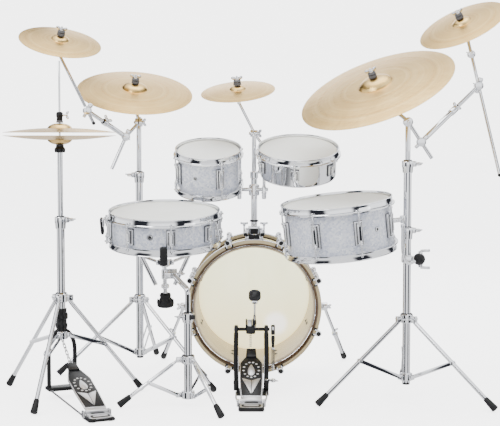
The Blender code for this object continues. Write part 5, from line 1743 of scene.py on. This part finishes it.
leftStandSetting = {
    "foot": (-0.406, 0.44),
    "bore": 0.0091,
    "top": 0.690,
    "legAngles": (203, 323, 83),
    "legReach": 0.298,
    "collar": 0.255,
    "hub": 0.066,
    "wing": 200,
    "rodEnd": (-0.497, 0.390, 0.718),
    "grip": (-0.4497, 0.418, 0.8305),
    "clamp": (-0.566, 0.279, 0.919),
}
rightStandSetting = {
    "foot": (0.483, -0.035),
    "bore": 0.0091,
    "top": 0.740,
    "middleJoint": 0.530,
    "legAngles": (205, 320, 85),
    "legReach": 0.320,
    "collar": 0.256,
    "hub": 0.069,
    "wing": 0,
    "ball": (0.521, -0.040, 0.445),
    "rodEnd": (0.566, 0.016, 0.763),
    "grip": (0.530, 0.002, 0.8146),
    "clamp": (0.745, 0.190, 1.000),
}


def leftStand(setting):
    x, y = setting["foot"]
    metal, dark, rubber = bmesh.new(), bmesh.new(), bmesh.new()
    standTube(metal, rubber, dark, setting)
    finishStand("leftStandBase", "kit_frame", metal, dark, "left_stand_base", None, rubber)

    metal, dark, felt, rubber = bmesh.new(), bmesh.new(), bmesh.new(), bmesh.new()
    grip, clamp = Vector(setting["grip"]), Vector(setting["clamp"])
    bar(metal, (x, y, 0.610), (x, y, 0.900), 0.0085, sides=32)
    tilter(metal, dark, Vector((x, y, 0.881)), "X", 0.0150)
    bar(metal, (x, y, 0.884), cymbalPoint("crash_cymbal", -0.035), 0.0060, sides=24)
    run(metal, [setting["rodEnd"], grip, (x, y - 0.006, 0.880)], 0.0060, fillet=0.006)
    boomArm(metal, dark, grip, clamp, 25, 30)
    tip = cymbalPoint("small_crash_cymbal", -0.040)
    run(metal, [clamp + (clamp - tip) * 0.22, clamp, tip], 0.0052, fillet=0)
    orb(dark, clamp + (clamp - tip) * 0.215, (0.0064, 0.0064, 0.0064), sides=16)
    tilter(metal, dark, tip, "Y", 0.0125)
    seatOf(metal, felt, rubber, "crash_cymbal")
    seatOf(metal, felt, rubber, "small_crash_cymbal")
    finishStand("leftStandTop", "left_stand_upper", metal, dark, "left_stand_upper", felt, rubber)


def rightStand(setting):
    x, y = setting["foot"]
    ball = Vector(setting["ball"])
    metal, dark, rubber = bmesh.new(), bmesh.new(), bmesh.new()
    standTube(metal, rubber, dark, setting)
    heightJoint(metal, dark, (x, y), setting["middleJoint"], setting["bore"], setting["wing"])
    block(metal, (0.034, 0.034, 0.026), shift(x, y, ball.z), 0.006, 3)
    bar(metal, (x + 0.010, y, ball.z), ball, 0.0100, sides=28)
    orb(dark, ball, (0.0192, 0.0192, 0.0192), sides=32)
    for side in (-1, 1):
        bar(
            metal, ball + Vector((0.004, 0, side * 0.014)), ball + Vector((0.004, 0, side * 0.026)), 0.0080,
            0.0060,
        )
        bar(
            metal, ball + Vector((0.004, 0, side * 0.0265)), ball + Vector((0.034, 0, side * 0.0275)), 0.0042,
            0.0050, sides=18, soften=0.0018,
        )
    ear = placeOf(sideSnare) @ Vector((sideSnare["radius"] + 0.036, 0, 0))
    path = [ball, (x - 0.004, y - 0.038, 0.430), (ear.x, y - 0.055, 0.47), (ear.x, ear.y, ear.z - 0.024)]
    run(metal, path, 0.0050, fillet=0.020)
    bar(metal, (ear.x, ear.y, ear.z - 0.026), (ear.x, ear.y, ear.z - 0.0142), 0.0068, sides=24)
    finishStand("rightStandBase", "kit_frame", metal, dark, "right_stand_base", None, rubber)

    metal, dark, felt, rubber = bmesh.new(), bmesh.new(), bmesh.new(), bmesh.new()
    near, far = Vector(setting["grip"]), Vector(setting["clamp"])
    bar(metal, (x, y, 0.640), (x, y, 0.890), 0.0085, sides=32)
    tilter(metal, dark, Vector((x, y, 0.878)), "Y", 0.0150)
    bar(metal, (x, y, 0.880), cymbalPoint("ride_cymbal", -0.035), 0.0060, sides=24)
    run(metal, [(x, y + 0.014, 0.882), near, setting["rodEnd"]], 0.0060, fillet=0.006)
    boomArm(metal, dark, near, far, 45, 15)
    tip = cymbalPoint("right_crash_cymbal", -0.040)
    foot = far + (far - tip) * 1.7
    run(metal, [foot, far, tip], 0.0054, fillet=0)
    orb(dark, foot, (0.0064, 0.0064, 0.0064), sides=16)
    tilter(metal, dark, far.lerp(tip, 0.62), "Y", 0.0125)
    seatOf(metal, felt, rubber, "ride_cymbal")
    seatOf(metal, felt, rubber, "right_crash_cymbal")
    finishStand("rightStandTop", "right_stand_upper", metal, dark, "right_stand_upper", felt, rubber)


tomPost(tomHolder)
leftStand(leftStandSetting)
rightStand(rightStandSetting)
print("stands built")

# Hi-hat

hihat = {
    "foot": (-0.615, -0.02, 0.0),
    "heel": (-0.468, -0.323, 0.022),
    "radius": 0.178,
    "plane": 0.840,
    "gap": 0.008,
    "boardLength": 0.270,
    "boardSlope": 21.0,
    "holes": 13,
    "bore": 0.0095,
    "legAngles": (20, 140, 260),
    "legReach": 0.265,
    "collar": 0.320,
    "hub": 0.200,
    "yokeHalf": 0.043,
    "yokeSpring": 0.150,
    "yokeRise": 0.068,
    "rodTop": 1.070,
}


def hihatStand(setting):
    x, y = setting["foot"][:2]
    place = Matrix.Translation(setting["foot"])
    heel = Vector(setting["heel"])
    flat = Vector((heel.x - x, heel.y - y, 0))
    heelAngle, reach = math.degrees(math.atan2(flat.y, flat.x)), flat.length
    seat = setting["plane"] - setting["gap"] / 2 - 0.0014 - setting["radius"] * 0.160 - 0.0005
    metal, dark, rubber, black, silver = (bmesh.new() for layer in range(5))
    hoopRing(metal, setting["bore"], 0.0125, 0.240, 0.575, place, 0.0008, 40)
    bar(metal, (x, y, 0.190), (x, y, 0.245), 0.0040, sides=20)
    hoopRing(metal, 0.0046, 0.0085, 0.560, seat - 0.016, place, 0.0008, 36)
    heightJoint(metal, dark, (x, y), 0.562, 0.0085, 20)
    cup = [(0.0046, seat - 0.024), (0.0150, seat - 0.024), (0.0172, seat - 0.020), (0.0172, seat - 0.012)]
    cup += [(0.0125, seat - 0.006), (0.0125, seat - 0.001), (0.0046, seat - 0.001)]
    lathe(black, cup, place, 40)
    profile = [
        (0.0100, 0.222), (0.0175, 0.222), (0.0190, 0.228), (0.0190, 0.236), (0.0165, 0.240), (0.0165, 0.250)
    ]
    profile += [(0.0205, 0.254), (0.0205, 0.268), (0.0165, 0.274), (0.0165, 0.286), (0.0100, 0.286)]
    lathe(black, profile, place, 40)
    tripodLegs(metal, rubber, dark, setting)
    out = place @ turn(heelAngle, "Z")
    block(black, (0.050, 0.100, 0.012), out @ shift(0, 0, 0.030), 0.004, 3)
    half, spring, rise, steps = setting["yokeHalf"], setting["yokeSpring"], setting["yokeRise"], 18
    arch = []
    for step in range(steps + 1):
        angle = math.pi * step / steps
        arch.append((0, half * math.cos(angle), spring + rise * math.sin(angle)))
    run(black, [(0, half, 0.030)] + arch + [(0, -half, 0.030)], 0.0068, out, 0)
    bar(black, (0, 0, 0.196), (0, 0, 0.226), 0.0135, 0.0160, out, 32, 0.003)
    for side in (-1, 1):
        run(silver, [(0, side * 0.044, 0.030), (reach, side * 0.034, 0.006)], 0.0030, out, 0)
        block(silver, (0.0200, 0.0075, 0.0210), out @ shift(reach, side * 0.040, 0.0165), 0.0025, 3)
    block(black, (0.066, 0.082, 0.0100), out @ shift(reach + 0.020, 0, 0.0060), 0.0040, 3)
    bar(
        black, (reach + 0.044, -0.027, 0.001), (reach + 0.044, -0.027, 0.0125), 0.0120, place=out, sides=28,
        soften=0.003,
    )
    bar(
        black, (reach + 0.044, 0.027, 0.001), (reach + 0.044, 0.027, 0.0125), 0.0120, place=out, sides=28,
        soften=0.003,
    )
    slope = out @ shift(reach + 0.022, 0, 0.0150) @ turn(90, "Z") @ turn(9, "X")
    heelTop(black, silver, slope)
    finishStand("hihatStand", "kit_frame", metal, dark, "hihat_stand", None, rubber)
    piece("hihatYoke", "kit_frame", powderBlack, black)
    piece("hihatYokeSilver", "kit_frame", steel, silver)

    board = Matrix.Translation(heel) @ turn(heelAngle + 90, "Z") @ turn(setting["boardSlope"], "X")
    black, silver = bmesh.new(), bmesh.new()
    boardTop(black, silver, board, setting["boardLength"] - 0.004, setting["holes"])
    piece("hihatTreadBlack", "hihat_footboard", powderBlack, black, ["hihat_footboard"])
    piece("hihatTreadSilver", "hihat_footboard", steel, silver)

    toe = board @ Vector((0, setting["boardLength"] - 0.008, 0.004))
    rollerChain("hihatChainLinks", Vector((x, y, 0.192)), toe, 8)

    low = Matrix.Translation((x, y, setting["plane"] - setting["gap"] / 2 - 0.0014)) @ turn(180, "X")
    high = Matrix.Translation((x, y, setting["plane"] + setting["gap"] / 2 + 0.0014))
    lowBronze = bronze("hihatLowerBronze", low)
    highBronze = bronze("hihatUpperBronze", high)
    piece(
        "hihatLowerPlate", "kit_frame", lowBronze, cymbalShape(setting["radius"], low),
        ["hihat_bottom_cymbal"],
    )
    piece(
        "hihatUpperPlate", "hihat_rod", highBronze, cymbalShape(setting["radius"], high),
        ["hihat_top_cymbal"],
    )
    bell = high.translation.z + setting["radius"] * 0.160
    metal, black, felt = bmesh.new(), bmesh.new(), bmesh.new()
    bar(metal, (x, y, 0.600), (x, y, setting["rodTop"]), 0.0032, sides=20, soften=0.0012)
    bar(felt, (x, y, bell + 0.0015), (x, y, bell + 0.0090), 0.0112, 0.0104, sides=28, soften=0.0016)
    bar(black, (x, y, bell + 0.0088), (x, y, bell + 0.0360), 0.0098, 0.0086, sides=28, soften=0.0016)
    bar(black, (x, y, bell + 0.0190), (x, y, bell + 0.0330), 0.0118, sides=6, soften=0.0016)
    bar(metal, (x, y, bell + 0.026), (x + 0.022, y, bell + 0.026), 0.0030, sides=16)
    wingNut(metal, shift(x + 0.019, y, bell + 0.026) @ turn(90, "Y"), 0.0120, 0.0046)
    piece("hihatPullRod", "hihat_rod", chrome, metal, ["hihat_rod"])
    piece("hihatClutch", "hihat_rod", powderBlack, black)
    piece("hihatClutchFelt", "hihat_rod", greyFelt, felt)
    felt = bmesh.new()
    bar(felt, (x, y, seat - 0.0012), (x, y, seat + 0.0006), 0.0120, sides=28, soften=0.0005)
    piece("hihatSeatFelt", "kit_frame", greyFelt, felt)


hihatStand(hihat)
print("hi-hat built")
